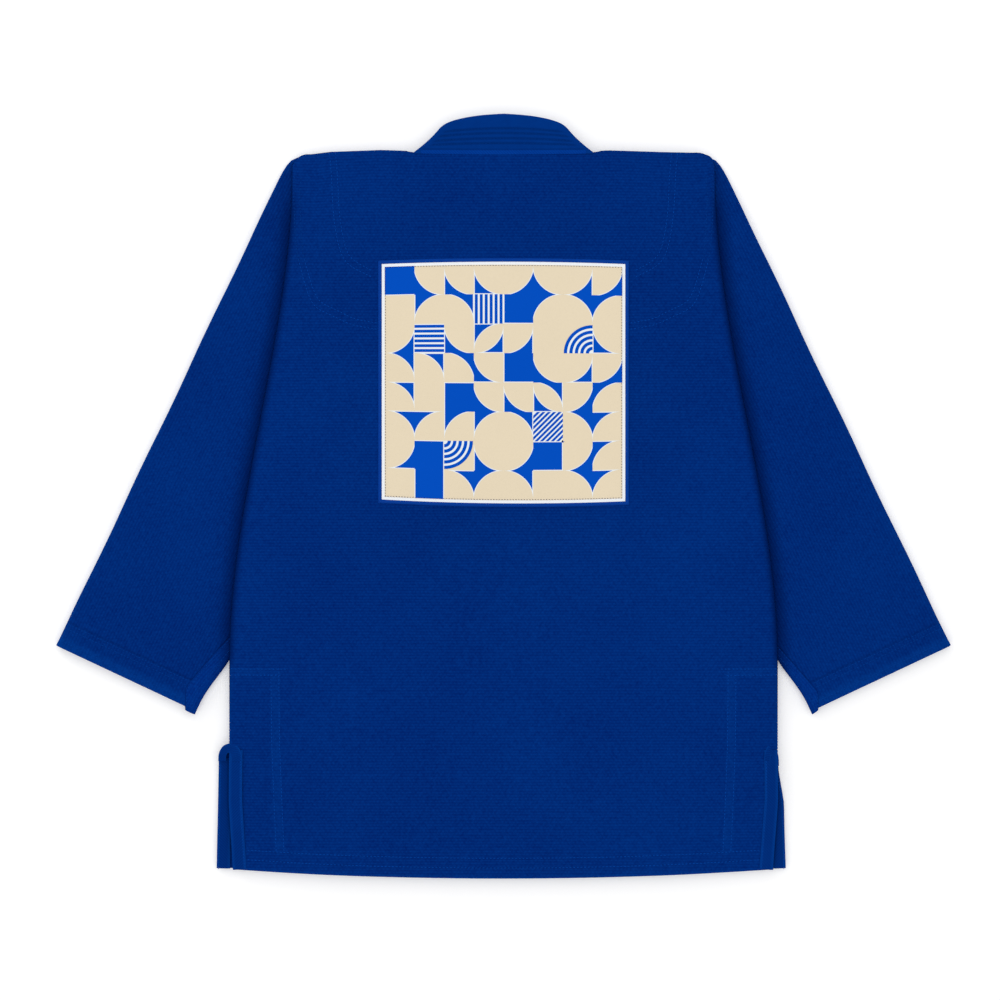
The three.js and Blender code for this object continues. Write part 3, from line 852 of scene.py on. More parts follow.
def makeReinforcements():
    rows = stripRows(yokePath(), yoke["width"], 7)
    piece, area = layFlat("shoulder_reinforcement_cloth", rows, liningTop, layers["lining"], bandDark)
    assign(piece, ["shoulder_reinforcement"], "jacket_back")
    for side, k in sideSign.items():
        for name, node, low, high, outer in reinforced:
            rows = np.stack(np.meshgrid(np.linspace(reinforcedFrom, outer, 8), np.linspace(low, high, 64)), -1)
            piece, area = layFlat(name + "_" + side, rows * [k, 1], liningTop, layers["lining"], bodyCloth)
            assign(piece, [side + "_" + node])
            bendAtTail(piece)
    hx = np.linspace(-276, 276, 44)
    rows = np.stack([np.stack([hx, hemLine(hx) + up], -1) for up in (0.5, 3, 8, 14, 19, 21.5)])
    piece, area = layFlat("tail_hem_fold", rows, liningTop, layers["lining"], seamCloth)
    assign(piece, ["tail_hem"], "tail")


makeReinforcements()
print("seams and reinforcements made")

# tape that binds the vents: up the back skirt's edge, over the top and down the front skirt's edge

ventBinding = {"width": 14.5, "thickness": 1.0, "puff": 0.5, "worn": 0.75, "skirtTop": 10.2, "skirtFall": 3.4,
               "back": {"right": (284.3, 290.0), "left": (285.7, 290.3)},
               "front": {"right": [(289.6, -277), (291.5, -300), (296.8, -330), (299.2, -404.2)],
                         "left": [(301.7, -284), (301.8, -292), (302.3, -318), (304.2, -404.2)]}}


def bindEdge(name, side, points, height, node):
    # one length of tape, puffed up across its width; height is given x, y and the puff
    v = ventBinding
    path = roundOff(densify(points, 12), 2)
    rows = stripRows(path, v["width"], 9)
    across = np.linspace(-1, 1, 9)[None, :]
    puff = v["puff"] * np.sqrt(1 - (0.97 * across) ** 2)
    x, y = rows[..., 0], rows[..., 1]
    top = height(x, y, puff)
    flat = pairUp(across * v["width"] / 2, y)
    tapePiece = clothMesh(name + side, sideSign[side] * x, y, top, top - v["thickness"] - puff * 0.6, flat, ventTape)
    markBoth(tapePiece, "worn", v["worn"] * smooth(0.55, 0.9, np.abs(across)), x.shape)
    flatArea(flat)
    assign(tapePiece, [side + node])
    return tapePiece, x, y


def underTape(x, y):  # the back's surface, held level past its edge
    return backTop(np.minimum(x, sideHalf(y) - 0.5), y)


def makeVentTapes(side):
    v = ventBinding
    hemX, topX = v["back"][side]

    def backHeight(x, y, puff):
        return underTape(x, y) + 0.3 + (0.45 + puff) * (1 - smooth(-279, -272, y))

    def frontHeight(x, y, puff):
        fall = v["skirtFall"] * (1 - smooth(-330, -210, y))
        return v["skirtTop"] - fall + puff * (1 - smooth(-282, -275, y)) + 2.0 * smooth(-300, -272, y)

    backPath = [(hemX, outline["hemY"] - 0.3), (topX - 0.4, -330), (topX - 0.6, -292), (topX - 1.0, -274.5)]
    back, x, y = bindEdge("tail_tape_", side, backPath, backHeight, "_tail_tape")
    bendAtTail(back)
    front, x, y = bindEdge("front_tape_", side, v["front"][side], frontHeight, "_front_tape")
    # painted shadow where the front tape runs under the back tape's edge
    beside = x - np.interp(y, [outline["hemY"], -330, -274], [hemX + 7.2, topX + 6.9, topX + 6.3])
    markBoth(front, "painted_shade", 1 - smooth(0.0, 3.6, beside))
    bendAtFront(front, side)


ventArch = {
    "left": {"outer": [(309.0, -287), (308.8, -279), (304.8, -271.0), (298.2, -267.6), (291.4, -268.2), (285.6, -271.8),
                       (282.6, -279), (282.0, -287)],
             "inner": [(300.6, -287), (300.2, -281), (299.0, -278.4), (297.7, -277.4), (296.4, -278.0), (295.5, -280),
                       (295.2, -283), (295.1, -287)], "frontZ": 13.5, "backZ": 18.5},
    "right": {"outer": [(298.4, -292), (298.0, -284), (296.6, -276.0), (293.2, -269.6), (289.0, -268.0),
                        (284.2, -271.2), (282.0, -278), (281.4, -286)],
              "inner": [(292.0, -292), (291.8, -286), (291.4, -282.4), (290.8, -280.8), (290.0, -280.4), (289.2, -281),
                        (288.8, -283), (288.6, -286)], "frontZ": 14.0, "backZ": 18.5}}


archStations = 18


def makeVentArch(side):
    # the tape's turn over the top of the vent, in two halves that follow the front and the tail
    k = sideSign[side]
    v = ventArch[side]
    share = np.array([0, 0.05, 0.16, 0.35, 0.6, 0.84, 0.95, 1.0])
    for name, first, last in (("front", 0.0, 0.5), ("back", 0.5, 1.0)):
        outer, inner = (alongLine(v[e], np.linspace(first, last, archStations)) for e in ("outer", "inner"))
        rows = outer[:, None] + (inner - outer)[:, None] * share[None, :, None]
        pillow = 0.75 * np.sqrt(np.clip(1 - (2 * share - 1) ** 2, 0, 1))[None, :]
        run = np.linspace(first, last, archStations)[:, None]
        sunk = 1.3 * (1 - smooth(0, 0.2, np.minimum(run, 1 - run)))
        z = v["frontZ"] + (v["backZ"] - v["frontZ"]) * smooth(0.25, 0.8, run) + pillow - sunk
        wide = np.linalg.norm(inner - outer, axis=1)[:, None]
        flat = pairUp(share[None, :] * wide, np.arange(archStations)[:, None] * 1.4)
        arch = clothMesh("vent_arch_" + name + "_" + side, rows[..., 0] * k, rows[..., 1], z, z - 0.9 - pillow,
                         flat, ventTape)
        markBoth(arch, "worn", ventBinding["worn"] * smooth(0.3, 0.48, np.abs(share - 0.5))[None, :], z.shape)
        flatArea(rows)
        if name == "back":
            bendAtTail(arch)
        else:
            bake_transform(arch)


for side in sideSign:
    makeVentTapes(side)
    makeVentArch(side)
print("vent tapes made")

# collar and lapels: one padded band, sewn through in rows

band = {"width": 50.0, "thickness": 7.0, "rows": [9.0, 17.0, 25.0, 33.0, 41.0], "dip": 0.8}
collarCut = {"under": 14.4, "top": 21.4, "base": 368.0,
             "edge": [(0, 413.4), (26, 411.8), (48, 408), (61.5, 403.5), (68, 399), (75, 390.5), (84, 382),
                      (96.8, 371.2)],
             "rows": [16.5, 21.6, 27.2, 32.4, 37.4]}


def rowDips(distance, rows, depth, width):
    return -depth * sum(np.exp(-((distance - r) / width) ** 2) for r in rows)


def quilted(name):
    # twill sewn down in rows: the thread lies in a groove, and shade is painted into the groove
    s = Shader(name)
    flat = s.flat()
    line = ridges((flat["X"] + flat["Y"]) / (twill["pitch"] * mm))
    fuzz = s.noise(700.0, 2.0)
    wash = s.noise(14.0, 3.0, 0.6)
    slub = s.noise(150.0, 2.0)
    shade = (line * 0.35 + fuzz * 0.3 + (slub - 0.5) * 0.5 + (wash - 0.5) * 0.6 + 0.32).clamp()
    colour = s.mix(shade, twill["dark"], twill["light"])
    # painted shade in the stitched grooves and under the collar's lip
    colour = s.mix((s.mark("painted_shade") * 0.8).clamp(), colour, toned(twill["dark"], 0.35))
    return s.finish(colour, 0.8 + (fuzz - 0.5) * 0.1, (line * twill["relief"] + fuzz * 0.06 + slub * 0.15) * mm, 0.05,
                    pearl["sheenTint"], 0.0)


bandQuilted = quilted("band_quilted")


def rowHeight(i, x):
    # the collar's rows of stitching bow up in the middle, the top one most
    c = collarCut
    return c["edge"][0][1] - c["rows"][i] - (4.4 - 0.9 * i) * (x / 70) ** 2


def bendAtCollar(piece):
    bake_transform(piece)


def lapelPlace(distance, y):  # how far across a lapel's slant a point lies, as x and y
    f = frontCut
    lean = math.atan2(f["lapelNeck"] - f["lapelHem"], f["lapelTop"] - outline["hemY"])
    return lapelX(y) + distance * math.cos(lean), y - distance * math.sin(lean)


def lapelLift(y):  # lapels rise to the collar at the neck
    return 6.6 * smooth(300, 372, y) ** 2


def makeCollar():
    c = collarCut
    right = roundOff(c["edge"], 3)
    edge = np.concatenate([right[::-1] * [-1, 1], right[1:]])
    count = 90
    steps = np.concatenate([[0], np.cumsum(np.linalg.norm(np.diff(edge, axis=0), axis=1))])
    edge = np.stack([np.interp(np.linspace(0, steps[-1], count), steps, edge[:, i]) for i in (0, 1)], -1)
    footX = edge[:, 0] * 0.998
    foot = np.stack([footX, c["base"] + 1.9 - 0.9 * (1 - (footX / 97) ** 2)], -1)
    tall = np.linalg.norm(edge - foot, axis=1)[None, :]
    share = np.unique(np.concatenate([spread(1.0, 0.021, (0.0, 0.004, 0.012, 0.03, 0.06)),
                                      [0.075, 0.09, 0.1, 0.11, 0.12, 0.13]]))
    rows = foot[None] + (edge - foot)[None] * share[:, None, None]
    x, y = rows[..., 0], rows[..., 1]
    deep, up = tall * (1 - share[:, None]), tall * share[:, None]  # from the free edge, and from the foot
    roundTop = roundEdge(deep, 3.4)
    roundFoot = roundEdge(up, 1.2, 0.05)
    thin = 0.42 + 0.58 * smooth(0, 18, tall)  # thinner where it turns to the front
    half = (c["top"] - c["under"]) / 2 * thin
    grooves = sum(np.exp(-((y - rowHeight(i, x)) / 1.1) ** 2) for i in range(len(c["rows"])))
    grooves = grooves * smooth(5, 12, deep) * smooth(7, 10, up)
    lipGroove = np.exp(-((up - 5.0) / 0.8) ** 2) * smooth(6, 12, tall)
    lipLow = 0.35 * (1 - smooth(4.4, 5.4, up)) * smooth(6, 12, tall)
    middle = (c["top"] + c["under"]) / 2 - 1.2 * smooth(60, 97, np.abs(x)) - 0.25
    top = middle + (half - band["dip"] * grooves - 0.45 * lipGroove - lipLow) * roundTop * roundFoot
    under = middle - (half - band["dip"] * grooves) * roundTop
    top = top + 0.25 * waviness(x * 1.5, y * 1.5 + 40) * roundTop * smooth(0, 15, deep)
    top = np.clip(top, 20.35 - 2.6 * smooth(3, 8, up), c["top"])
    under = np.where(up < 4, np.maximum(under, 19.45), under + (19.45 - under) * (1 - smooth(4, 7, up)))
    under = np.minimum(under, top - 0.35)
    flat = np.stack([x, y], -1)
    collar = clothMesh("collar_band", x, y, top, under, flat, bandQuilted)
    collar.data.materials.append(lipTape)
    faces = [[collar.data.vertices[v].co for v in f.vertices] for f in collar.data.polygons]
    lip = [max(p.y for p in face) < 0.3742 and min(abs(p.x) for p in face) < 0.088 for face in faces]
    collar.data.polygons.foreach_set("material_index", np.array(lip).astype(int))
    # painted shade in the stitched grooves and in the groove under the lip
    markCloth(collar, "painted_shade", np.stack([grooves * 0.5 + lipGroove * 0.35, grooves * 0.5]))
    assign(collar, ["collar_cover", "collar_core"])
    bendAtCollar(collar)


def makeLapel(side):
    k = sideSign[side]
    f = frontCut
    y = spread(f["lapelTop"] + 1.5 - outline["hemY"], 12.0) + outline["hemY"]
    across = spread(band["width"], 1.15, (0.0, 0.25, 0.8, 1.7, 2.6, 3.5)) - band["width"] / 2
    x, slantY = lapelPlace(across[None, :], y[:, None])
    edge = np.minimum(across + band["width"] / 2, band["width"] / 2 - across)[None, :]
    dips = rowDips(across + band["width"] / 2, band["rows"], band["dip"], 1.2)[None, :]
    endIn = smooth(0, 3, np.minimum(y - y[0], y[-1] - y))[:, None] * 0.25 + 0.75
    half = (band["thickness"] / 2 - 0.1 + dips) * roundEdge(edge, 3.5) * endIn
    middle = 3.5 + lapelLift(y[:, None])
    lapel = clothMesh(side + "_lapel", k * x, slantY, middle + half, middle - half,
                      pairUp(across[None, :], y[:, None]), bandQuilted)
    # painted shade in the stitched grooves
    markBoth(lapel, "painted_shade", -dips / band["dip"] * 0.75, x.shape)
    assign(lapel, [side + "_lapel_cover", side + "_lapel_core"], side + "_front")


makeCollar()
for side in sideSign:
    makeLapel(side)
print("collar and lapels made")

# patch: white cloth, cream panel, printed tiles and a satin border

patchCut = {"base": 19.55, "baseThick": 0.75, "panelHalf": 128.2, "panelLow": -0.4, "panelHigh": 247.2,
            "panelThick": 0.5, "ink": 0.12, "line": 0.95, "columns": 8, "rows": 8, "seed": 34, "ringShare": 0.6,
            "arc": 15, "disc": 0.97, "rings": 5, "ringStep": 0.185, "ringWidth": 0.11, "bars": 6,
            "borderWidth": 4.4, "borderRise": 1.9, "borderAway": 1.4, "borderFoot": 19.3, "borderBase": 19.35,
            "bowTop": 2.6, "bowLow": 4.3, "bowLowX": 20.0, "stitchInset": 0.6, "stitchHeight": 21.0}


def bowed(x, y):
    # the patch's top and bottom edges bulge a little where it was sewn on
    share = (y - patch["low"]) / (patch["high"] - patch["low"])
    lowBow = np.clip(1 - ((x - patchCut["bowLowX"]) / (patch["half"] + patchCut["bowLowX"])) ** 2, 0, 1)
    return y + patchCut["bowTop"] * (1 - (x / patch["half"]) ** 2) * share - patchCut["bowLow"] * lowBow * (1 - share)


def flatBlock(name, x0, x1, y0, y1, z0, z1, material, count=24):
    x, y = np.meshgrid(np.linspace(x0, x1, count), np.linspace(y0, y1, count))
    edge = np.minimum.reduce([x - x0, x1 - x, y - y0, y1 - y])
    z = z1 - 0.15 * (1 - smooth(0, 2, edge))
    flat = np.stack([x, y], -1)
    return clothMesh(name, x, bowed(x, y), z, z0, flat, material), flatArea(flat)


tileCorners = [(0, 0), (1, 0), (1, 1), (0, 1)]
tileSides = {"low": (0, 1), "right": (1, 2), "high": (2, 3), "left": (3, 0)}


def blueCorners(kind, turn):
    # which of a tile's corners its blue reaches; a side is blue where it touches one
    return {"quarter": [(turn + 2) % 4], "leaf": [turn, (turn + 2) % 4], "solid": [0, 1, 2, 3]}.get(kind, [])


def blueSides(kind, turn):
    blue = blueCorners(kind, turn)
    return [side for side, ends in tileSides.items() if any(c in blue for c in ends)]


def inkCorner(corner, insets, line):
    # the shape left between a tile's corner and the arc round the opposite one, in tile shares
    cx, cy = tileCorners[corner]
    across = insets["left" if cx == 0 else "right"] * line
    up = insets["low" if cy == 0 else "high"] * line
    radius = 1 + line * 0.9
    first = math.atan2(math.sqrt(max(radius ** 2 - (1 - across) ** 2, 0)), 1 - across)
    last = math.atan2(1 - up, math.sqrt(max(radius ** 2 - (1 - up) ** 2, 0)))
    t = np.linspace(first, last, patchCut["arc"])
    arc = [(radius * math.cos(a), radius * math.sin(a)) for a in t]
    shape = [(1 - across, 1 - up), *arc]
    return [(u if cx else 1 - u, v if cy else 1 - v) for u, v in shape]


def tileShapes(kind, turn, sides):
    # one tile's printed shapes in tile shares; sides says which of its sides meet the ground colour
    line = patchCut["line"] * patchCut["columns"] / (2 * patchCut["panelHalf"])
    none = {side: 0 for side in tileSides}
    shapes = []
    if kind in ("quarter", "leaf"):
        for corner in blueCorners(kind, turn):
            shapes.append(("line", inkCorner(corner, none, 0.0)))
            shapes.append(("ink", inkCorner(corner, sides, line)))
    elif kind == "solid":
        low, right, high, left = (sides[n] * line for n in ("low", "right", "high", "left"))
        shapes.append(("line", tileCorners))
        shapes.append(("ink", [(left, low), (1 - right, low), (1 - right, 1 - high), (left, 1 - high)]))
    elif kind == "arcs":
        cx, cy = tileCorners[turn]
        quarter = np.linspace(0, math.pi / 2, patchCut["arc"])

        def arc(radius, angles=quarter):
            return [(radius * math.cos(a), radius * math.sin(a)) for a in angles]

        loops = [("line", [(0, 0)] + arc(patchCut["disc"]))]
        for ring in range(patchCut["rings"]):
            outer = patchCut["disc"] - ring * patchCut["ringStep"]
            loops.append(("ink", arc(outer) + arc(outer - patchCut["ringWidth"], quarter[::-1])))
        shapes += [(colour, [(1 - u if cx else u, 1 - v if cy else v) for u, v in loop]) for colour, loop in loops]
    elif kind == "bars":
        shapes.append(("line", tileCorners))
        for bar in range(patchCut["bars"]):
            low, high = (bar + 0.2) / patchCut["bars"], (bar + 0.8) / patchCut["bars"]
            loop = [(low, 0), (high, 0), (high, 1), (low, 1)]
            shapes.append(("ink", [(v, u) for u, v in loop] if turn % 2 else loop))
    elif kind == "slant":
        shapes.append(("line", tileCorners))
        for bar in range(-5, 6):
            low, high = (bar + 0.2) / 5.5, (bar + 0.8) / 5.5
            loop = [(max(low, 0.0), max(-low, 0.0)), (max(high, 0.0), max(-high, 0.0)),
                    (min(1.0, 1.0 + high), min(1.0, 1.0 - high)), (min(1.0, 1.0 + low), min(1.0, 1.0 - low))]
            shapes.append(("ink", loop))
    return shapes


def prisms(name, shapes, low, high, materials):
    points, faces, which = [], [], []
    for kind, shape in shapes:
        shape = [tuple(float(v) for v in p) for p in shape]
        turnSum = sum(a[0] * b[1] - b[0] * a[1] for a, b in zip(shape, shape[1:] + shape[:1]))
        if turnSum < 0:
            shape = shape[::-1]
        base, n = len(points), len(shape)
        lift = 0.04 if kind == "ink" else 0.0
        points += [(x, bowed(x, y), high + lift) for x, y in shape] + [(x, bowed(x, y), low) for x, y in shape]
        made = [list(range(base, base + n)), list(range(base + 2 * n - 1, base + n - 1, -1))]
        made += [[base + i, base + n + i, base + n + (i + 1) % n, base + (i + 1) % n] for i in range(n)]
        faces += made
        which += [0 if kind == "ink" else 1] * len(made)
    return makeObject(name, points, faces, materials, None, which, 30)


def drawTiles():
    p = patchCut
    draw = random.Random(p["seed"])
    kinds = ["quarter"] * 14 + ["leaf"] + ["plain"] * 2 + ["solid"] * 2
    facing = [0, 1, 3, 2]  # the turns that make four neighbouring tiles meet in a ring
    special = {(2, 1): "arcs", (5, 2): "slant", (1, 5): "bars", (6, 5): "arcs", (3, 6): "bars"}
    tiles = {}
    for row in range(p["rows"]):
        for column in range(p["columns"]):
            kind = special.get((column, row)) or draw.choice(kinds)
            turn = draw.randrange(4)
            if kind == "quarter" and draw.random() < p["ringShare"]:
                turn = facing[column % 2 + 2 * (row % 2)]
            tiles[column, row] = (kind, turn)
    return tiles


def printedShapes():
    p = patchCut
    tiles = drawTiles()
    w, h = 2 * p["panelHalf"] / p["columns"], (p["panelHigh"] - p["panelLow"]) / p["rows"]
    beyond = {"low": (0, -1, "high"), "right": (1, 0, "left"), "high": (0, 1, "low"), "left": (-1, 0, "right")}
    shapes = []
    for (column, row), (kind, turn) in tiles.items():
        sides = {}
        for side, (dx, dy, facing) in beyond.items():
            beside = tiles.get((column + dx, row + dy))
            sides[side] = 1 if beside and facing not in blueSides(*beside) else 0
        for colour, shape in tileShapes(kind, turn, sides):
            shapes.append((colour, [(-p["panelHalf"] + (column + u) * w, p["panelLow"] + (row + v) * h)
                                    for u, v in shape]))
    return shapes


borderProfile = [(-1, 0.0), (-0.8, 0.65), (-0.4, 0.93), (0, 1.0), (0.4, 0.93), (0.8, 0.65), (1, 0.0)]


def corneredLine(half, low, high, step):  # round a rectangle and back to its first corner
    return densify([(-half, low), (half, low), (half, high), (-half, high), (-half, low)], step)


def makeBorder():
    # a raised ring of satin stitches round the patch, joined from its last row back to its first
    p = patchCut
    away = p["borderAway"]
    half, low, high = patch["half"] + away, patch["low"] - away, patch["high"] + away
    middle, halfY = (patch["low"] + patch["high"]) / 2, (patch["high"] - patch["low"]) / 2 + away
    path = corneredLine(half, low, high, 6.0)[:-1]
    loops, flats, run = [], [], 0.0
    for i, point in enumerate(path):
        up = point[1] - middle
        out = np.array([np.sign(point[0]) * (abs(abs(point[0]) - half) < 0.01),
                        np.sign(up) * (abs(abs(up) - halfY) < 0.01)])
        places = [point + out * a * p["borderWidth"] / 2 for a, b in borderProfile]
        loops.append([(q[0], bowed(q[0], q[1]), p["borderBase"] + b * p["borderRise"])
                      for q, (a, b) in zip(places, borderProfile)])
        flats.append([(run, a * p["borderWidth"] / 2) for a, b in borderProfile])
        run += float(np.linalg.norm(path[(i + 1) % len(path)] - point))
    loops = np.array(loops)
    under = loops.copy()
    under[..., 2] = p["borderFoot"]
    flats = np.array(flats + [[(run, b) for (_, b) in flats[0]]])
    border = gridMesh("patch_satin_border", *(np.swapaxes(a, 0, 1) for a in (loops, under, flats)), satin, wrap=True)
    assign(border, ["patch_border"], "jacket_back")
    return border


def makePatch():
    p = patchCut
    half, low, high = patch["half"], patch["low"], patch["high"]
    top = p["base"] + p["baseThick"]
    printTop = top + p["panelThick"]
    base, baseArea = flatBlock("patch_base_cloth", -half, half, low, high, p["base"], top, patchWhite)
    panel, panelArea = flatBlock("patch_panel_cloth", -p["panelHalf"], p["panelHalf"], p["panelLow"], p["panelHigh"],
                                 top + 0.02, printTop, patchCream)
    ink = prisms("patch_print", printedShapes(), printTop - 0.3, printTop + p["ink"], [patchInk, patchOutline])
    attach(ink, "jacket_back")
    border = makeBorder()
    assign(base, ["patch_base"], "jacket_back")
    assign(panel, ["patch_panel"], "jacket_back")


makePatch()
print("patch made")

# stitches

stitching = {"body": (3.9, 2.8, 0.4), "collar": (3.4, 2.4, 0.26), "lapel": (4.4, 3.2, 0.28),  # pitch, length, radius
             "sleeve": (3.7, 2.6, 0.33), "tape": (3.2, 2.2, 0.33), "patch": (3.0, 2.0, 0.24)}


def stitchTree():
    tree = bpy.data.node_groups.new("stitch_rows", "GeometryNodeTree")
    tree.interface.new_socket("Geometry", in_out="INPUT", socket_type="NodeSocketGeometry")
    for name in ("Pitch", "Length", "Radius"):
        tree.interface.new_socket(name, in_out="INPUT", socket_type="NodeSocketFloat")
    tree.interface.new_socket("Material", in_out="INPUT", socket_type="NodeSocketMaterial")
    tree.interface.new_socket("Geometry", in_out="OUTPUT", socket_type="NodeSocketGeometry")
    new = tree.nodes.new
    start, end = new("NodeGroupInput"), new("NodeGroupOutput")
    curve, spaced = new("GeometryNodeMeshToCurve"), new("GeometryNodeResampleCurve")
    ball, shaped, size = new("GeometryNodeMeshUVSphere"), new("GeometryNodeTransform"), new("ShaderNodeCombineXYZ")
    halfLength, tangent = new("ShaderNodeMath"), new("GeometryNodeInputTangent")
    aim, placed = new("FunctionNodeAlignRotationToVector"), new("GeometryNodeInstanceOnPoints")
    real, smoothOn = new("GeometryNodeRealizeInstances"), new("GeometryNodeSetShadeSmooth")
    coloured = new("GeometryNodeSetMaterial")
    spaced.mode = "LENGTH"
    halfLength.operation = "MULTIPLY"
    aim.axis = "X"
    for node, name, value in ((ball, "Segments", 8), (ball, "Rings", 4), (ball, "Radius", 1.0), (halfLength, 1, 0.5)):
        node.inputs[name].default_value = value
    for source, output, target, name in (
            (start, "Geometry", curve, "Mesh"), (curve, "Curve", spaced, "Curve"), (start, "Pitch", spaced, "Length"),
            (start, "Length", halfLength, 0), (halfLength, 0, size, "X"), (start, "Radius", size, "Y"),
            (start, "Radius", size, "Z"), (ball, "Mesh", shaped, "Geometry"), (size, "Vector", shaped, "Scale"),
            (tangent, "Tangent", aim, "Vector"), (spaced, "Curve", placed, "Points"),
            (shaped, "Geometry", placed, "Instance"), (aim, "Rotation", placed, "Rotation"),
            (placed, "Instances", real, "Geometry"), (real, "Geometry", smoothOn, "Geometry"),
            (smoothOn, "Geometry", coloured, "Geometry"), (start, "Material", coloured, "Material"),
            (coloured, "Geometry", end, "Geometry")):
        tree.links.new(source.outputs[output], target.inputs[name])
    return tree


stitchRows = stitchTree()


def sewRows(name, lines, kind="body", material=thread):
    # lines: lists of x, y, z points that the stitches follow
    points, edges = [], []
    for line in lines:
        first = len(points)
        points += [tuple(np.asarray(p) * mm) for p in line]
        edges += [(first + i, first + i + 1) for i in range(len(line) - 1)]
    mesh = bpy.data.meshes.new(name + "_path")
    mesh.from_pydata(points, edges, [])
    guide = putInScene(name + "_path", mesh)
    modifier = guide.modifiers.new("stitches", "NODES")
    modifier.node_group = stitchRows
    values = {"Material": material, **{n: v * mm for n, v in zip(("Pitch", "Length", "Radius"), stitching[kind])}}
    for item in stitchRows.interface.items_tree:
        if item.in_out == "INPUT" and item.name in values:
            modifier[item.identifier] = values[item.name]
    bpy.context.view_layer.update()
    done = bpy.data.meshes.new_from_object(guide.evaluated_get(bpy.context.evaluated_depsgraph_get()))
    bpy.data.objects.remove(guide)
    done.name = name
    return putInScene(name, done)


def onSurface(path, height, above=0.12):
    path = np.asarray(path, float)
    x, y = path[:, 0], path[:, 1]
    return np.column_stack([x, y + droop(x, y), height(x, y) + above])


def mirrorBoth(paths):
    return [np.asarray(p, float) * [k, 1] for k in (1, -1) for p in paths]


def surfaceRows(lines, curved=False):  # the same rows on both halves of the back
    return [onSurface(densify(roundOff(line, 3) if curved else line, 6), backTop) for line in mirrorBoth(lines)]


# rows through the shoulder reinforcement, as far as the patch hides them
yokeLines = [[(181.5, 370.5), (179.5, 352), (177.5, 302), (170.6, 264), (160, 252.7), (144, 244.5)],
             [(188.0, 370.5), (186.0, 352), (184.0, 302), (176.9, 262), (166, 247.7), (144, 237.5)],
             [(221.3, 255), (218.7, 243), (212.8, 222.5), (206.8, 208), (199, 201), (178.7, 192), (164.7, 184.7),
              (138, 180.4)],
             [(215.0, 255), (212.5, 245), (206.8, 226), (201.5, 213.5), (195, 207.5), (175.5, 198.5), (162, 191.2),
              (138, 187)]]
crossLines = [[(294, -187), (236, -187)], [(294, -193.6), (242, -193.6)]]
armholeLines = [[(226, 345), (227, 330), (226, 297), (224, 267), (221.3, 255)],
                [(219, 345), (220.5, 330), (219.5, 297), (217.5, 267), (215.0, 255)]]
stripLines = [[(242.7, -187), (242.0, -268), (237.5, -383)], [(251.2, -194), (250.5, -268), (246.0, -383)]]
hemX = np.linspace(-276, 276, 90)
hemRows = [onSurface(np.stack([hemX, hemLine(hemX) + up], -1), backTop, 0.25) for up in (11.5, 22.0)]

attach(sewRows("back_stitches", surfaceRows(yokeLines, True) + surfaceRows(crossLines)), "jacket_back")
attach(sewRows("armhole_stitches", surfaceRows(armholeLines, True), "body", quietThread), "jacket_back")
bendAtTail(sewRows("vent_stitches", surfaceRows(stripLines)))
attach(sewRows("hem_stitches", hemRows), "tail")


def sewCollar():
    c = collarCut
    lines = []
    for i, drop in enumerate(c["rows"]):
        y = c["edge"][0][1] - drop
        reach = float(np.interp(-y, [-p[1] for p in c["edge"]], [p[0] for p in c["edge"]])) - 8
        x = np.linspace(-reach, reach, 30)
        for z in (c["top"] - 1.0, c["under"] + 0.9):
            lines.append(np.column_stack([x, rowHeight(i, x), z - 1.2 * smooth(60, 97, np.abs(x))]))
    bendAtCollar(sewRows("collar_stitches", lines, "collar", quietThread))


def sewLapel(side, k):
    y = np.linspace(outline["hemY"] + 4, frontCut["lapelTop"] - 2, 60)
    lines = []
    for row in band["rows"]:
        x, slantY = lapelPlace(row - band["width"] / 2, y)
        for z in (0.45, 6.55):
            lines.append(np.column_stack([k * x, slantY, z + lapelLift(y)]))
    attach(sewRows(side + "_lapel_stitches", lines, "lapel"), side + "_front")


def sewCuff(side, k):  # on both faces of the sleeve
    d = np.linspace(5, cuffWidth - seamStrip[side] - 1, 40)
    lines = []
    for back in (7.0, 21.5, 26.6):
        xy = acrossCuff(d, back)
        z = sleeveThickness(xy[:, 0], xy[:, 1]) / 2
        z = z + (sleeveTop(xy[:, 0], xy[:, 1]) - z + 0.75) * roundEdge(d, sleeveCut["edgeRadius"])
        lines.append(np.column_stack([xy * [k, 1], z + 0.1]))
        lines.append(np.column_stack([xy * [k, 1], np.full(len(d), 0.15)]))
    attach(sewRows(side + "_cuff_stitches", lines, "sleeve", cuffThread), side + "_sleeve")


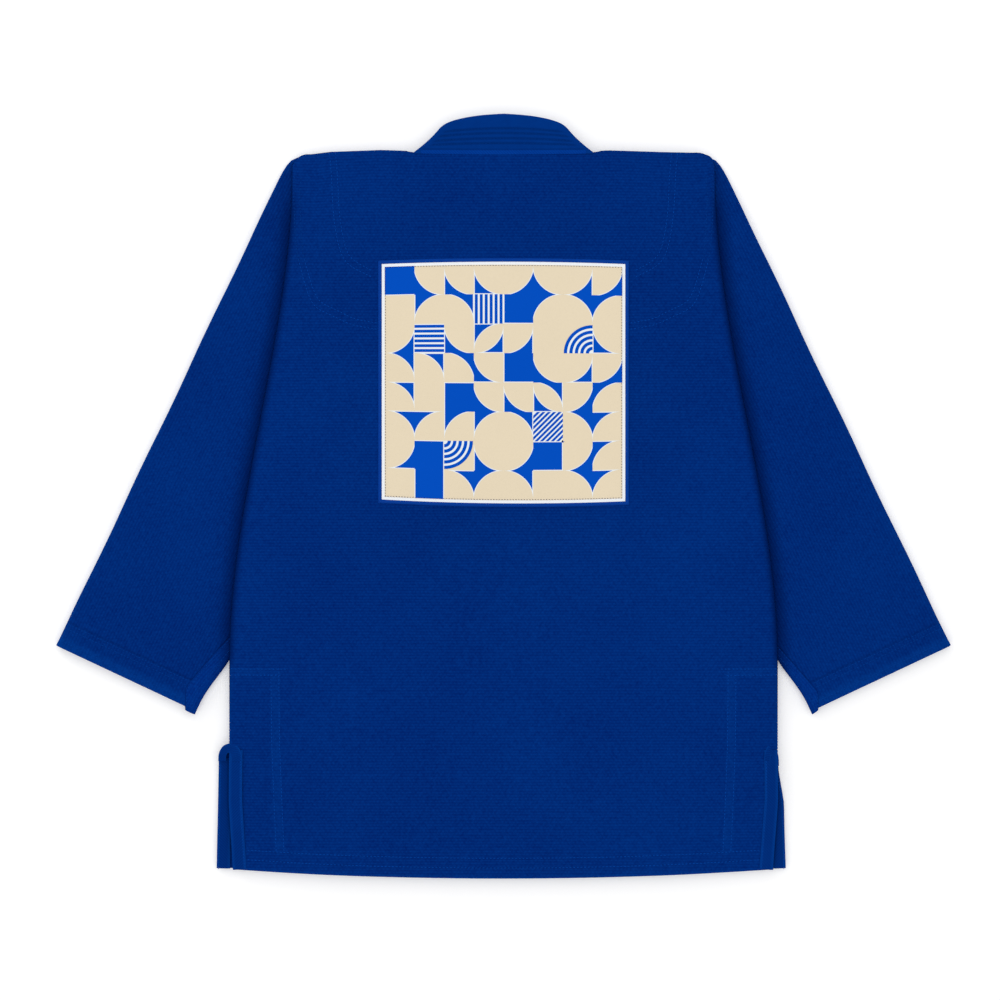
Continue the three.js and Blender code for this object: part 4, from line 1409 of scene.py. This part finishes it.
def sewSeam(side, k):
    outer, inner = seamEdges(side)
    lines = []
    for share in (0.86, 0.4):
        xy = (outer + (inner - outer) * share)[:-1]
        depth = share * np.linalg.norm(inner - outer, axis=1)[:-1]
        half = sleeveThickness(xy[:, 0], xy[:, 1]) / 2
        z = half + (sleeveTop(xy[:, 0], xy[:, 1]) - half) * roundEdge(depth, sleeveCut["edgeRadius"]) + 1.3
        lines.append(np.column_stack([xy * [k, 1], z]))
    bendAtSleeve(sewRows(side + "_seam_stitches", lines, "sleeve", cuffThread), side)


def sewTapes(side, k):  # one row along the inner edge of each tape
    hemX, topX = ventBinding["back"][side]
    line = [(hemX - 5.2, -401), (topX - 5.6, -330), (topX - 5.8, -292), (topX - 5.9, -281)]
    path = onSurface(roundOff(densify(line, 12), 2), underTape, 1.2) * [k, 1, 1]
    bendAtTail(sewRows(side + "_tail_tape_stitches", [path], "tape"))
    line = densify([(x + 5.0, y) for x, y in ventBinding["front"][side][1:]], 12)[::-1]
    z = 10.75 - ventBinding["skirtFall"] * (1 - smooth(-330, -210, line[:, 1]))
    path = np.column_stack([line * [k, 1], z])
    bendAtFront(sewRows(side + "_front_tape_stitches", [path], "tape"), side)


def sewPatch():
    p, inset = patchCut, patchCut["stitchInset"]
    ring = corneredLine(p["panelHalf"] - inset, p["panelLow"] + inset, p["panelHigh"] - inset, 8)
    line = np.column_stack([ring[:, 0], bowed(ring[:, 0], ring[:, 1]), np.full(len(ring), p["stitchHeight"])])
    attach(sewRows("patch_stitches", [line], "patch", patchThread), "jacket_back")


sewCollar()
for side, k in sideSign.items():
    for sew in (sewLapel, sewCuff, sewSeam, sewTapes):
        sew(side, k)
sewPatch()
print("stitches sewn")

# floor

floorMesh = bpy.data.meshes.new("floor")
floorMesh.from_pydata([(x * studio["floorHalf"], y * studio["floorHalf"], studio["floorHeight"])
                       for x, y in ((-1, -1), (1, -1), (1, 1), (-1, 1))], [], [(0, 1, 2, 3)])
floor = putInScene("floor", floorMesh)
floorMesh.materials.append(Shader("floor_paper").finish((*studio["floor"], 1), 0.9, None, 0.0, (1, 1, 1), 0.05,
                                                        studio["floorGlow"]))
